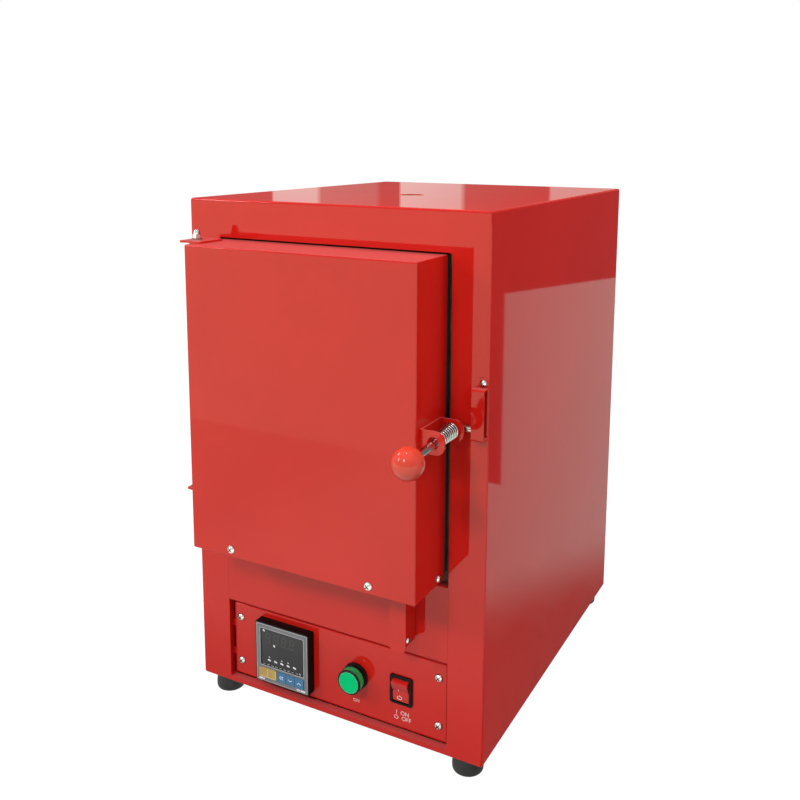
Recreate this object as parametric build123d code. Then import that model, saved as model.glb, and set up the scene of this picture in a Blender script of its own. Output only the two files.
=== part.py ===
"""Bench burnout furnace: sheet-steel cabinet, fibre-lined chamber, side-hung door and control panel.

Every piece is drawn from the middle of the cabinet's front bottom edge: x to the right,
y into the furnace, z up, in millimetres. keep() moves it so that z = 0 is the table
and the origin lies under the middle of the whole furnace.
"""
from build123d import *
from math import cos, pi, radians, sin, sqrt, tan
import os

# Cabinet
BODY_W = 360.0
BODY_D = 438.0
BODY_H = 566.0
SHEET = 1.2
BEND = 2.4
FRONT_RETURN = 5.0
SCREW_HOLE_R = 2.2
FRONT_HEAD_R = 4.4
HALF_W = BODY_W / 2
INSIDE_X = HALF_W - SHEET
FOOT_H = 20.0
FOOT_R = 16.5
FOOT_X = 156.0
FOOT_INSET_Y = 19.5
FLANGE_W = 40.0
GLAND_OUT = 14.0
GLAND_X = 120.0
GLAND_Z = 40.0

# Front openings
OPEN_X = 140.0
OPEN_TOP = 524.8
STRIP_TOP = 187.0
STRIP_BOTTOM = 102.2
WINDOW_BOTTOM = 7.0
LIP_DEPTH = 8.7
SEAM = 0.15

# Door
DOOR_W = 269.6
DOOR_H = 328.8
DOOR_D = 63.0
DOOR_X = DOOR_W / 2
DOOR_BOTTOM = 194.2
DOOR_TOP = DOOR_BOTTOM + DOOR_H
DOOR_SHEET = 1.5
DOOR_BEND = 1.5
DOOR_BACK = -0.5
HINGE_X = -144.0
HINGE_Y = -32.0
LEAF_REACH_X = -153.0
LEAF_FRONT_Y = -50.0
PIN_R = 2.5
LEAF_T = 3.0
WASHER_T = 1.0
LOWER_LEAF_Z = 252.0
HINGE_SCREW_Z = (503.5, 234.0)
DOOR_SCREW_X = 83.5
DOOR_SCREW_Z = 202.7
SIDE_SCREW_Y = -12.7
SIDE_SCREW_Z = 200.7

# Chamber lining
CAVITY_X = 95.0
CAVITY_FRONT = 30.0
CAVITY_BACK = 308.0
CAVITY_FLOOR = 236.0
CAVITY_ROOF = 476.0
LINING_X = 177.0
LINING_BACK = 396.0
LINING_TOP = 563.0
SHELF_Z = 128.0
FLUE_X = 5.0
FLUE_Y = 174.0
FLUE_R = 14.0
COIL_X = 100.0
COIL_R = 5.0
COIL_LOW = 262.0
COIL_HIGH = 454.0
COIL_RUNS = 6
COIL_FRONT = 48.0
COIL_BACK = 292.0
GROOVE_W = 13.0
COIL_RISE = (COIL_HIGH - COIL_LOW) / (COIL_RUNS - 1)
COIL_TURN_R = COIL_RISE / 2
PROBE_Z = 420.0

# Latch
LATCH_X = 148.5
LATCH_Z = 355.5
ROD_R = 4.0
BALL_R = 15.2
BALL_Y = -104.0
ARM_Y = -4.9
DROOP = 3.2
DROOP_Y = -33.0
ARM_TIP_X = 172.0
EAR_FRONT_Y = -55.5
EAR_REAR_Y = -12.0
EAR_T = 2.0
KEEPER_LEFT = 167.0
KEEPER_FRONT = -11.8
KEEPER_LOW = 347.5
KEEPER_HIGH = 398.5
KEEPER_T = 1.6
KEEPER_SCREW_X = 174.5
KEEPER_SCREW_Z = 402.7

# Latch spring
SPRING_WIRE_R = 0.7
SPRING_HALF_TURNS = 17
SPRING_REAR_Y = -16.5
SPRING_FRONT_Y = -45.0
SPRING_REAR_R = 7.7
SPRING_FRONT_R = 5.9
SPRING_LEG = 4.6
SPRING_HOOK_R = 1.4

# Controls, all on one centre line
PANEL_Y = 6.0
PANEL_T = 1.5
PANEL_BOTTOM = 9.0
PANEL_TOP = 98.0
PANEL_X = 136.6
PANEL_SCREW_X = 127.8
LEDGE_INNER = 120.0
CONTROL_Z = 54.0
CONTROLLER_X = -63.0
CONTROLLER_HALF = 36.0
CONTROLLER_FRONT = -5.5
CONTROLLER_RIM = 1.3
FACE_PROUD = 0.5
CASE_HALF = 33.7
KEYS = (
    ("set_key", -94.2, -70.0),
    ("shift_key", -69.2, -57.35),
    ("down_key", -57.15, -45.3),
    ("up_key", -45.1, -33.3),
)
KEY_LOW = 24.2
KEY_HIGH = 35.6
KEY_TRAVEL = 0.8
KEY_GAP = 0.25
LAMP_X = 28.0
ROCKER_X = 84.0
ROCKER_PIVOT_Y = 9.0
ROCKER_TILT = 13.0

# Door switch and the striker that hangs from the door
SWITCH_X = 94.0
SWITCH_Z = 130.0
STRIKER_FRONT = -22.0
STRIKER_LEFT = 84.5
STRIKER_RIGHT = 103.4
STRIKER_T = 1.6
STRIKER_SCREW_Y = -17.5
STRIKER_SCREW_Z = 128.5
PLUNGER_R = 3.0
PLUNGER_TIP = -2.0

FRONT_REACH = BALL_R - BALL_Y
SHIFT_Y = (FRONT_REACH - BODY_D - GLAND_OUT) / 2
pieces = {}


def keep(name, *solids):
    """Sets a piece, or a group of like fasteners, in the furnace's own frame."""
    placed = [Pos(0, SHIFT_Y, FOOT_H) * solid for solid in solids]
    pieces[name] = placed[0] if len(placed) == 1 else Compound(children=placed)


def along_x(face, x0, x1):
    """A profile drawn in (y, z), run from x0 to x1."""
    return Pos(x0, 0, 0) * extrude(Plane.YZ * face, amount=x1 - x0)


def along_y(face, y0, y1):
    """A profile drawn in (x, z), run from y0 to y1."""
    return Pos(0, y0, 0) * extrude(Plane.XZ * face, amount=y0 - y1)


def along_z(face, z0, z1):
    """A profile drawn in (x, y), run from z0 to z1."""
    return Pos(0, 0, z0) * extrude(face, amount=z1 - z0)


def plate(u0, u1, v0, v1, corner=0.0):
    """A rectangle between two pairs of edges, with rounded corners where asked."""
    middle = Pos((u0 + u1) / 2, (v0 + v1) / 2)
    if corner > 0:
        return middle * RectangleRounded(u1 - u0, v1 - v0, corner)
    return middle * Rectangle(u1 - u0, v1 - v0)


def board(x0, x1, y0, y1, z0, z1):
    """A square-cut board of lining."""
    return along_z(plate(x0, x1, y0, y1), z0, z1)


def folded(points, thick=SHEET, bend=BEND, side=Side.LEFT):
    """Sheet folded along its outer line, with round bends, as a closed profile."""
    line = FilletPolyline(*points, radius=bend)
    return make_face(offset(line, amount=thick, side=side, kind=Kind.ARC))


def round_y(x, z, radius, y0, y1):
    """A round bar or hole along y."""
    return along_y(Pos(x, z) * Circle(radius), y0, y1)


def round_z(x, y, radius, z0, z1):
    """A round bar or hole along z."""
    return along_z(Pos(x, y) * Circle(radius), z0, z1)


def hexagon(across_flats):
    return RegularPolygon(across_flats / 2, 6, major_radius=False)


def pan_head_screw(head_r, head_h, shank_r, length):
    """Pan-head screw, seated at z = 0 with its head upwards and a cross recess in it."""
    rim_z = head_h * 0.22
    shank = [(0, head_h), (0, -length), (shank_r, -length), (shank_r, 0)]
    side = Polyline(*shank, (head_r * 0.84, 0), (head_r, rim_z))
    dome = ThreePointArc((head_r, rim_z), (head_r * 0.74, head_h * 0.8), (0, head_h))
    screw = revolve(Plane.XZ * make_face(side + dome), Axis.Z)
    for angle in (45, 135):
        screw -= Pos(0, 0, head_h) * Rot(0, 0, angle) * Box(head_r * 1.15, head_r * 0.3, head_h * 1.3)
    return screw


def front_screw(x, y, z, length=8.0):
    """A pan-head screw with its head towards the front, seated on the plane y."""
    return Pos(x, y, z) * Rot(90, 0, 0) * pan_head_screw(FRONT_HEAD_R, 2.4, 2.0, length)


def outer_wrap():
    """Top and sides, folded from one sheet, with bottom flanges and a flange at the back."""
    inner_edge = HALF_W - FLANGE_W
    left_side = [(-inner_edge, 0), (-HALF_W, 0), (-HALF_W, BODY_H)]
    right_side = [(HALF_W, BODY_H), (HALF_W, 0), (inner_edge, 0)]
    wrap = along_y(folded(left_side + right_side, side=Side.RIGHT), FRONT_RETURN, BODY_D)
    back_flange = 14.0
    ring = plate(-INSIDE_X, INSIDE_X, SHEET, BODY_H - SHEET)
    ring -= plate(-INSIDE_X + back_flange, INSIDE_X - back_flange, 0, BODY_H - SHEET - back_flange)
    wrap += along_y(ring, BODY_D - 2 * SHEET, BODY_D - SHEET)
    for x, z in rear_screw_places():
        wrap -= round_y(x, z, SCREW_HOLE_R, BODY_D - 3 * SHEET, BODY_D)
    for x in (-FOOT_X, FOOT_X):
        for y in foot_rows():
            wrap -= round_z(x, y, 3.2, -1, SHEET + 1)
    wrap -= round_z(FLUE_X, FLUE_Y, FLUE_R, BODY_H - 5, BODY_H + 1)
    keep("outer_wrap", wrap)


def foot_rows():
    return (FOOT_INSET_Y, BODY_D - FOOT_INSET_Y)


def rear_screw_places():
    edge_x = INSIDE_X - 7.0
    heights = (24.0, BODY_H / 2, BODY_H - 24.0)
    return [(side * edge_x, z) for side in (-1, 1) for z in heights]


def front_frame():
    """Front sheet round the door and the panel: a shallow tray, bent back round its outside,
    with a lip folded in round the window and two ledges for the panel."""
    corner = 3.0
    window = plate(-OPEN_X, OPEN_X, WINDOW_BOTTOM, OPEN_TOP, corner)
    around = plate(-OPEN_X - SHEET, OPEN_X + SHEET, WINDOW_BOTTOM - SHEET, OPEN_TOP + SHEET, corner + SHEET)
    frame = along_y(plate(-HALF_W, HALF_W, 0, BODY_H, BEND), 0, FRONT_RETURN)
    frame = fillet(frame.faces().sort_by(Axis.Y)[0].edges(), BEND - 0.2)
    inside = plate(-INSIDE_X, INSIDE_X, SHEET, BODY_H - SHEET, BEND - SHEET)
    hollow = along_y(inside, SHEET, FRONT_RETURN + 1)
    hollow = fillet(hollow.faces().sort_by(Axis.Y)[0].edges(), BEND - SHEET - 0.2)
    frame -= hollow
    frame -= along_y(window, -1, FRONT_RETURN)
    frame += along_y(around - window, SHEET, LIP_DEPTH)
    ledge_low, ledge_high = 13.0, 93.0
    for side in (-1, 1):
        ledge_x = sorted((side * LEDGE_INNER, side * PANEL_X))
        tab_x = sorted((side * LEDGE_INNER, side * (OPEN_X + SHEET / 2)))
        ledge = along_y(plate(*ledge_x, ledge_low, ledge_high), 0, SHEET)
        for z in (ledge_low + 22, ledge_high - 22):
            ledge += along_y(plate(*tab_x, z - 4, z + 4), 0, SHEET)
        for x, z in panel_screw_places():
            ledge -= round_y(x, z, SCREW_HOLE_R, -1, SHEET + 1)
        frame += Pos(0, PANEL_Y + PANEL_T, 0) * ledge
    for x, z in hinge_screw_places() + [(KEEPER_SCREW_X, KEEPER_SCREW_Z)]:
        frame -= round_y(x, z, SCREW_HOLE_R, -1, SHEET + 1)
    keep("front_frame", frame)


def panel_screw_places():
    return [(side * PANEL_SCREW_X, z) for side in (-1, 1) for z in (27.0, 81.0)]


def hinge_screw_places():
    return [(x, z) for z in HINGE_SCREW_Z for x in (-155.0, -145.5)]


def middle_strip():
    """Flush strip between the door opening and the control recess, folded back above and below."""
    back = 9.0
    outline = [(back, STRIP_BOTTOM), (0, STRIP_BOTTOM), (0, STRIP_TOP), (back, STRIP_TOP)]
    strip = along_x(folded(outline, side=Side.RIGHT), -OPEN_X + SEAM, OPEN_X - SEAM)
    strip -= round_y(SWITCH_X, SWITCH_Z, 6.0, -1, 3)
    keep("middle_strip", strip)


def control_panel():
    """Recessed panel, folded back above and below, with its cut-outs."""
    back = PANEL_Y + 10.0
    outline = [(back, PANEL_BOTTOM), (PANEL_Y, PANEL_BOTTOM), (PANEL_Y, PANEL_TOP), (back, PANEL_TOP)]
    panel = along_x(folded(outline, PANEL_T, 2.5, Side.RIGHT), -PANEL_X, PANEL_X)
    low, high = PANEL_Y - 1, PANEL_Y + PANEL_T + 1
    case = CASE_HALF + 0.3
    panel -= along_y(Pos(CONTROLLER_X, CONTROL_Z) * Rectangle(2 * case, 2 * case), low, high)
    panel -= round_y(LAMP_X, CONTROL_Z, 11.2, low, high)
    panel -= along_y(Pos(ROCKER_X, CONTROL_Z) * Rectangle(22.4, 29.4), low, high)
    for x, z in panel_screw_places():
        panel -= round_y(x, z, SCREW_HOLE_R, low, high)
    keep("control_panel", panel)


def front_screws():
    """The pan-head screws on the front: four in the panel, four in the hinges, one in the keeper."""
    screws = [front_screw(x, PANEL_Y, z) for x, z in panel_screw_places()]
    screws += [front_screw(x, -LEAF_T, z, 6.5) for x, z in hinge_screw_places()]
    keeper_screw = pan_head_screw(3.6, 2.2, 1.5, 5.0)
    screws.append(Pos(KEEPER_SCREW_X, -KEEPER_T, KEEPER_SCREW_Z) * Rot(90, 0, 0) * keeper_screw)
    keep("front_screws", *screws)


def rear_panel():
    """Flat back sheet with two blocks of cooling slots and the cable entry."""
    sheet = plate(-INSIDE_X + 0.4, INSIDE_X - 0.4, SHEET + 0.4, BODY_H - SHEET - 0.4, 2.0)
    slot = SlotOverall(70, 5)
    sheet -= Pos(-85, 74) * GridLocations(0, 13, 1, 6) * slot
    sheet -= Pos(0, BODY_H - 60) * GridLocations(90, 13, 3, 3) * slot
    sheet -= Pos(GLAND_X, GLAND_Z) * Circle(8.1)
    for x, z in rear_screw_places():
        sheet -= Pos(x, z) * Circle(SCREW_HOLE_R)
    keep("rear_panel", along_y(sheet, BODY_D - SHEET, BODY_D))


def rear_screws():
    """The six pan-head screws that hold the back sheet to the wrap's flange."""
    screw = Rot(-90, 0, 0) * pan_head_screw(4.0, 2.4, 2.0, 7.0)
    return [Pos(x, BODY_D, z) * screw for x, z in rear_screw_places()]


def base_tray():
    """Bottom tray on the wrap's flanges, with cooling slots, and its turned-up sides."""
    edge = INSIDE_X - 0.2
    up = 14.0
    floor = SHEET
    outline = [(-edge, up), (-edge, floor), (edge, floor), (edge, up)]
    tray = along_y(folded(outline, side=Side.LEFT), BEND + 0.2, BODY_D - 3 * SHEET)
    slots = Pos(0, BODY_D / 2) * GridLocations(90, 26, 3, 4) * SlotOverall(70, 6)
    tray -= along_z(Sketch() + slots, 0, 4)
    for x in (-FOOT_X, FOOT_X):
        for y in foot_rows():
            tray -= round_z(x, y, 3.2, 0, 4)
    keep("base_tray", tray)


def feet():
    """Four moulded rubber feet, each screwed up through the flange and the tray."""
    top, low = 0.0, -FOOT_H
    well_r = 7.0
    well_top = -8.0
    rim = [(3.3, well_top), (well_r, well_top), (well_r, low), (FOOT_R - 3.0, low)]
    outline = Polyline((3.3, top), *rim) + ThreePointArc(
        (FOOT_R - 3.0, low), (FOOT_R - 0.9, low + 1.0), (FOOT_R, low + 3.4))
    outline += ThreePointArc((FOOT_R, low + 3.4), (FOOT_R - 0.2, -8.0), (FOOT_R - 2.2, top))
    outline += Line((FOOT_R - 2.2, top), (3.3, top))
    foot = revolve(Plane.XZ * make_face(outline), Axis.Z)
    places = [(x, y) for y in foot_rows() for x in (-FOOT_X, FOOT_X)]
    keep("feet", *[Pos(x, y, 0) * foot for x, y in places])
    screw = Pos(0, 0, well_top) * Rot(180, 0, 0) * pan_head_screw(5.0, 3.0, 3.0, 16.0)
    nut = along_z(hexagon(10.0) - Circle(3.1), 2 * SHEET, 2 * SHEET + 5.0)
    foot_screws = [Pos(x, y, 0) * part for x, y in places for part in (screw, nut)]
    keep("cabinet_screws", *rear_screws(), *foot_screws)


def shelf():
    """Folded shelf that carries the lining above the wiring space."""
    front, back = 24.0, BODY_D - 4.0
    outline = [(front, SHELF_Z - 12), (front, SHELF_Z), (back, SHELF_Z), (back, SHELF_Z - 12)]
    profile = folded(outline, 1.2, BEND, Side.RIGHT)
    keep("lining_shelf", along_x(profile, -LINING_X, LINING_X))


def lining():
    """Fibre boards round the chamber, with a raised mouth that the door closes on."""
    x, front = LINING_X, CAVITY_FRONT
    keep("floor_board", board(-x, x, front, LINING_BACK, SHELF_Z, CAVITY_FLOOR))
    keep("roof_board", board(-x, x, front, LINING_BACK, CAVITY_ROOF, LINING_TOP)
         - round_z(FLUE_X, FLUE_Y, FLUE_R + 4.2, CAVITY_ROOF - 1, LINING_TOP + 1))
    back = board(-x, x, CAVITY_BACK, LINING_BACK, CAVITY_FLOOR, CAVITY_ROOF)
    back -= round_y(0, PROBE_Z, 3.4, CAVITY_BACK - 1, LINING_BACK + 1)
    for side in (-1, 1):
        board_x = sorted((side * CAVITY_X, side * x))
        wall = board(*board_x, front, CAVITY_BACK, CAVITY_FLOOR, CAVITY_ROOF)
        groove_x = sorted((side * (CAVITY_X - 1), side * (COIL_X + GROOVE_W / 2)))
        wall -= along_x(coil_groove(), *groove_x)
        keep("left_board" if side < 0 else "right_board", wall)
        for z in (COIL_LOW, COIL_HIGH):
            back -= round_y(side * COIL_X, z, 3.0, CAVITY_BACK - 1, LINING_BACK + 1)
    keep("back_board", back)
    mouth = plate(-CAVITY_X, CAVITY_X, CAVITY_FLOOR, CAVITY_ROOF)
    face_y, raised_y = 7.0, 1.0
    rim = OPEN_X - 1.5
    collar = along_y(plate(-rim, rim, STRIP_TOP + 1.5, OPEN_TOP - 1.5) - mouth, face_y, front)
    collar += along_y(plate(-118, 118, 213, 499, 6.0) - mouth, raised_y, face_y)
    keep("mouth_collar", collar)
    tape = plate(-135.0, 135.0, 199.0, OPEN_TOP - 2.0, 3.0) - plate(-120, 120, 211, 502, 6.0)
    keep("mouth_gasket", along_y(tape, 0.2, face_y))
    hearth = along_z(plate(-89, 89, 36, 300, 8.0), CAVITY_FLOOR, CAVITY_FLOOR + 8)
    keep("hearth_plate", hearth)


def coil_path(end_y):
    """Route in (y, z): runs up the wall joined by half-round turns, both ends leaving at the back."""
    rise, turn = COIL_RISE, COIL_TURN_R
    near, far = COIL_FRONT + turn, COIL_BACK - turn
    path = []
    for run in range(COIL_RUNS):
        z = COIL_LOW + run * rise
        forward = run % 2 == 0
        y0, y1 = (far, near) if forward else (near, far)
        y0 = end_y if run == 0 else y0
        y1 = end_y if run == COIL_RUNS - 1 else y1
        path.append(Line((y0, z), (y1, z)))
        if run < COIL_RUNS - 1:
            bulge = near - turn if forward else far + turn
            path.append(ThreePointArc((y1, z), (bulge, z + turn), (y1, z + rise)))
    return Wire(path)


def coil_groove():
    """The milled channel in (y, z) that one wall's coil lies in."""
    near, far = COIL_FRONT + COIL_TURN_R, COIL_BACK - COIL_TURN_R
    half = GROOVE_W / 2
    ring = Circle(COIL_TURN_R + half) - Circle(COIL_TURN_R - half)
    reach = COIL_TURN_R + GROOVE_W
    channel = Sketch()
    for run in range(COIL_RUNS):
        z = COIL_LOW + run * COIL_RISE
        open_end = run in (0, COIL_RUNS - 1)
        channel += plate(near, CAVITY_BACK + 1 if open_end else far, z - half, z + half)
        if run < COIL_RUNS - 1:
            at_front = run % 2 == 0
            y = near if at_front else far
            ends = (y - reach, y) if at_front else (y, y + reach)
            middle = z + COIL_TURN_R
            channel += (Pos(y, middle) * ring) & plate(*ends, middle - reach, middle + reach)
    return channel


def heating():
    """Two coil routes, their terminals, and the temperature probe."""
    for side, name in ((-1, "heating_coil_left"), (1, "heating_coil_right")):
        path = Pos(side * COIL_X, 0, 0) * Plane.YZ.location * coil_path(CAVITY_BACK)
        coil = sweep(Plane(origin=path @ 0, z_dir=path % 0) * Circle(COIL_R), path=path)
        for z in (COIL_LOW, COIL_HIGH):
            coil += round_y(side * COIL_X, z, 2.5, CAVITY_BACK - 1, LINING_BACK + 20)
        keep(name, coil)
    post = revolve(Plane.XZ * make_face(Polyline(
        (2.7, 0), (9, 0), (9, 5), (6.5, 7), (6.5, 13), (5.5, 14), (2.7, 14), (2.7, 0))), Axis.Z)
    posts = []
    for side in (-1, 1):
        for z in (COIL_LOW, COIL_HIGH):
            posts.append(Pos(side * COIL_X, LINING_BACK, z) * Rot(-90, 0, 0) * post)
    keep("heater_terminals", *posts)
    tip_y = 262.0
    sheath = round_y(0, PROBE_Z, 3.0, tip_y, LINING_BACK + 4) + Pos(0, tip_y, PROBE_Z) * Sphere(3.0)
    keep("thermocouple", sheath)
    shell = Polyline((3.1, 0), (15, 0), (15, 16), (13, 18), (3.1, 18), (3.1, 0))
    head = revolve(Plane.XZ * make_face(shell), Axis.Z)
    head += Pos(0, 9, 21) * Box(12, 4, 6)
    keep("thermocouple_head", Pos(0, LINING_BACK, PROBE_Z) * Rot(-90, 0, 0) * head)
    flue = Pos(FLUE_X, FLUE_Y) * (Circle(FLUE_R + 4) - Circle(FLUE_R))
    keep("flue_tube", along_z(flue, CAVITY_ROOF, BODY_H - SHEET))


def hinges():
    """Two leaves on the cabinet, two on the door, and a cap-nutted pin through each pair."""
    eye_r = 8.0
    neck = Pos(HINGE_X, HINGE_Y) * Circle(eye_r) + plate(HINGE_X - eye_r, HINGE_X + eye_r, HINGE_Y, 0)
    neck -= Pos(HINGE_X, HINGE_Y) * Circle(PIN_R + 0.1)
    door_leaf_t = 2.0
    flange_h = 26.0
    pins = []
    stacked = []
    for name, door_leaf_z in (("upper", DOOR_TOP), ("lower", LOWER_LEAF_Z)):
        leaf_top = door_leaf_z - WASHER_T
        leaf_low = leaf_top - LEAF_T
        flange = along_y(plate(-160, -136.5, leaf_top - flange_h, leaf_top, 2.0), -LEAF_T, 0)
        for x, z in hinge_screw_places():
            flange -= round_y(x, z, SCREW_HOLE_R, -LEAF_T - 1, 1)
        keep("cabinet_leaf_" + name, along_z(neck, leaf_low, leaf_top) + flange)
        top = door_leaf_z + door_leaf_t
        pin = round_z(HINGE_X, HINGE_Y, PIN_R, leaf_low, top + 7.6)
        pin += along_z(Pos(HINGE_X, HINGE_Y) * hexagon(8.0), leaf_low - 3.5, leaf_low)
        pins.append(pin)
        ring = Pos(HINGE_X, HINGE_Y) * (Circle(5.5) - Circle(PIN_R + 0.1))
        seat = top + 0.1
        stacked.append(along_z(ring, leaf_top, door_leaf_z))
        stacked.append(along_z(ring, seat, seat + WASHER_T))
        stacked.append(Pos(HINGE_X, HINGE_Y, seat + WASHER_T) * cap_nut())
    keep("hinge_pins", *pins)
    keep("hinge_nuts_washers", *stacked)

    rear_y = -14.0
    pin_hole = Pos(HINGE_X, HINGE_Y) * Circle(PIN_R + 0.06)
    leaf = plate(LEAF_REACH_X, -124.0, LEAF_FRONT_Y, rear_y, 2.0) - pin_hole
    keep("door_leaf_upper", along_z(leaf, DOOR_TOP, DOOR_TOP + door_leaf_t))
    tongue = plate(LEAF_REACH_X, -DOOR_X, LEAF_FRONT_Y, rear_y, 2.0) - pin_hole
    lower = along_z(tongue, LOWER_LEAF_Z, LOWER_LEAF_Z + door_leaf_t)
    upright = plate(LEAF_FRONT_Y, rear_y, LOWER_LEAF_Z, LOWER_LEAF_Z + 28, 2.0)
    lower += along_x(upright, -DOOR_X - door_leaf_t, -DOOR_X)
    keep("door_leaf_lower", lower)


def cap_nut():
    """Domed nut: a hexagon under a round cap, bored blind."""
    flat_h = 4.4
    dome_r = 3.6
    bore_h = 7.0
    shoulder = flat_h + 1.6
    dome = Pos(0, 0, shoulder) * Sphere(dome_r) & along_z(Rectangle(10, 10), shoulder, shoulder + 5)
    cap = along_z(Circle(dome_r), flat_h, shoulder) + dome
    nut = along_z(hexagon(8.0), 0, flat_h) + cap
    return nut - along_z(Circle(PIN_R + 0.1), 0, bore_h)


def door():
    """Pressed door tray, its fibre pad and the frame that holds the pad in."""
    skin = along_y(plate(-DOOR_X, DOOR_X, DOOR_BOTTOM, DOOR_TOP), -DOOR_D, 0)
    skin = fillet(skin.faces().sort_by(Axis.Y)[0].edges(), DOOR_BEND)
    skin = fillet(skin.edges().filter_by(Axis.Y), 1.0)
    inner = plate(-DOOR_X + DOOR_SHEET, DOOR_X - DOOR_SHEET, DOOR_BOTTOM + DOOR_SHEET, DOOR_TOP - DOOR_SHEET)
    hollow = along_y(inner, -DOOR_D + DOOR_SHEET, 1)
    hollow = fillet(hollow.faces().sort_by(Axis.Y)[0].edges(), 0.4)
    skin -= hollow
    screws = []
    side_holes = []
    for side in (-1, 1):
        skin -= round_y(side * DOOR_SCREW_X, DOOR_SCREW_Z, SCREW_HOLE_R, -DOOR_D - 1, -DOOR_D + 3)
        screws.append(front_screw(side * DOOR_SCREW_X, -DOOR_D, DOOR_SCREW_Z, 3.0))
        seat = Pos(side * DOOR_X, SIDE_SCREW_Y, SIDE_SCREW_Z) * Rot(0, 90 * side, 0)
        side_holes.append(seat * Cylinder(SCREW_HOLE_R, 8))
        screws.append(seat * pan_head_screw(4.0, 2.4, 2.0, 2.2))
    for hole in side_holes:
        skin -= hole
    keep("door_shell", skin)
    striker_seat = Pos(STRIKER_RIGHT, STRIKER_SCREW_Y, STRIKER_SCREW_Z) * Rot(0, 90, 0)
    screws.append(striker_seat * pan_head_screw(3.4, 2.2, 1.6, 6.0))
    keep("door_screws", *screws)

    inset = DOOR_SHEET + 0.3
    ring_x, ring_low, ring_top = DOOR_X - inset, DOOR_BOTTOM + inset, DOOR_TOP - inset
    window = plate(-116, 116, 215, 502, 8.0)
    turned = 20.0
    ring = along_y(plate(-ring_x, ring_x, ring_low, ring_top, 1.5) - window, DOOR_BACK - SHEET, DOOR_BACK)
    rim = plate(-ring_x, ring_x, ring_low, ring_top, 1.5)
    rim -= plate(-ring_x + SHEET, ring_x - SHEET, ring_low + SHEET, ring_top - SHEET, 0.5)
    ring += along_y(rim, DOOR_BACK - turned, DOOR_BACK - SHEET)
    for hole in side_holes:
        ring -= hole
    keep("pad_frame", ring)

    room = SHEET + 2.0
    pad = plate(-ring_x + room, ring_x - room, ring_low + room + 6, ring_top - room, 3.0)
    block = along_y(pad, -DOOR_D + DOOR_SHEET + 3.2, DOOR_BACK - SHEET)
    block += along_y(plate(-115.5, 115.5, 215.5, 501.5, 7.5), DOOR_BACK - SHEET, DOOR_BACK)
    keep("door_pad", block)


def striker():
    """Strap under the door and the small foot on it that meets the door switch."""
    low_web, low_side = 115.7, 122.5
    corner = 5.0
    web = plate(STRIKER_LEFT, STRIKER_RIGHT, low_web, DOOR_BOTTOM)
    web = fillet(web.vertices().sort_by(Axis.Y)[:2], corner)
    strap = along_y(web, STRIKER_FRONT, STRIKER_FRONT + STRIKER_T)
    side = plate(STRIKER_FRONT + STRIKER_T / 2, -0.6, low_side, DOOR_BOTTOM)
    low_rear = side.vertices().group_by(Axis.Y)[0].sort_by(Axis.X)[-1]
    side = fillet(low_rear, corner)
    strap += along_x(side, STRIKER_RIGHT - STRIKER_T, STRIKER_RIGHT)
    strap += board(STRIKER_LEFT, STRIKER_RIGHT, STRIKER_FRONT, -5, DOOR_BOTTOM - STRIKER_T, DOOR_BOTTOM)
    bore = Pos(STRIKER_RIGHT, STRIKER_SCREW_Y, STRIKER_SCREW_Z) * Rot(0, 90, 0) * Cylinder(1.7, 12)
    keep("striker_strap", strap - bore)
    foot_t = 1.5
    inner = STRIKER_RIGHT - STRIKER_T
    half_h = 6.0
    face_y = PLUNGER_TIP - 0.4
    outline = [(inner, STRIKER_FRONT + STRIKER_T + 0.4), (inner, face_y), (88, face_y)]
    foot = along_z(folded(outline, foot_t, 2.4, Side.LEFT), SWITCH_Z - half_h, SWITCH_Z + half_h)
    keep("striker_foot", foot - bore)


def door_switch():
    """Plunger switch held in the strip by its own collar, with a body behind."""
    collar = round_y(SWITCH_X, SWITCH_Z, 7.5, -1.0, 0) + round_y(SWITCH_X, SWITCH_Z, 5.9, 0, 9)
    body = along_y(plate(SWITCH_X - 7, SWITCH_X + 7, SWITCH_Z - 14, SWITCH_Z + 14, 1.5), 9, 23.5)
    switch = collar + body - round_y(SWITCH_X, SWITCH_Z, PLUNGER_R + 0.05, -2, 14)
    keep("door_switch", switch)
    plunger = round_y(SWITCH_X, SWITCH_Z, PLUNGER_R, PLUNGER_TIP, 10)
    keep("switch_plunger", chamfer(plunger.faces().sort_by(Axis.Y)[0].edges(), 0.6))


def latch_place():
    """The rod's own frame: it hangs a little low at the ball, on a line through its two bearings."""
    return Pos(LATCH_X, DROOP_Y, LATCH_Z) * Rot(DROOP, 0, 0)


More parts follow.
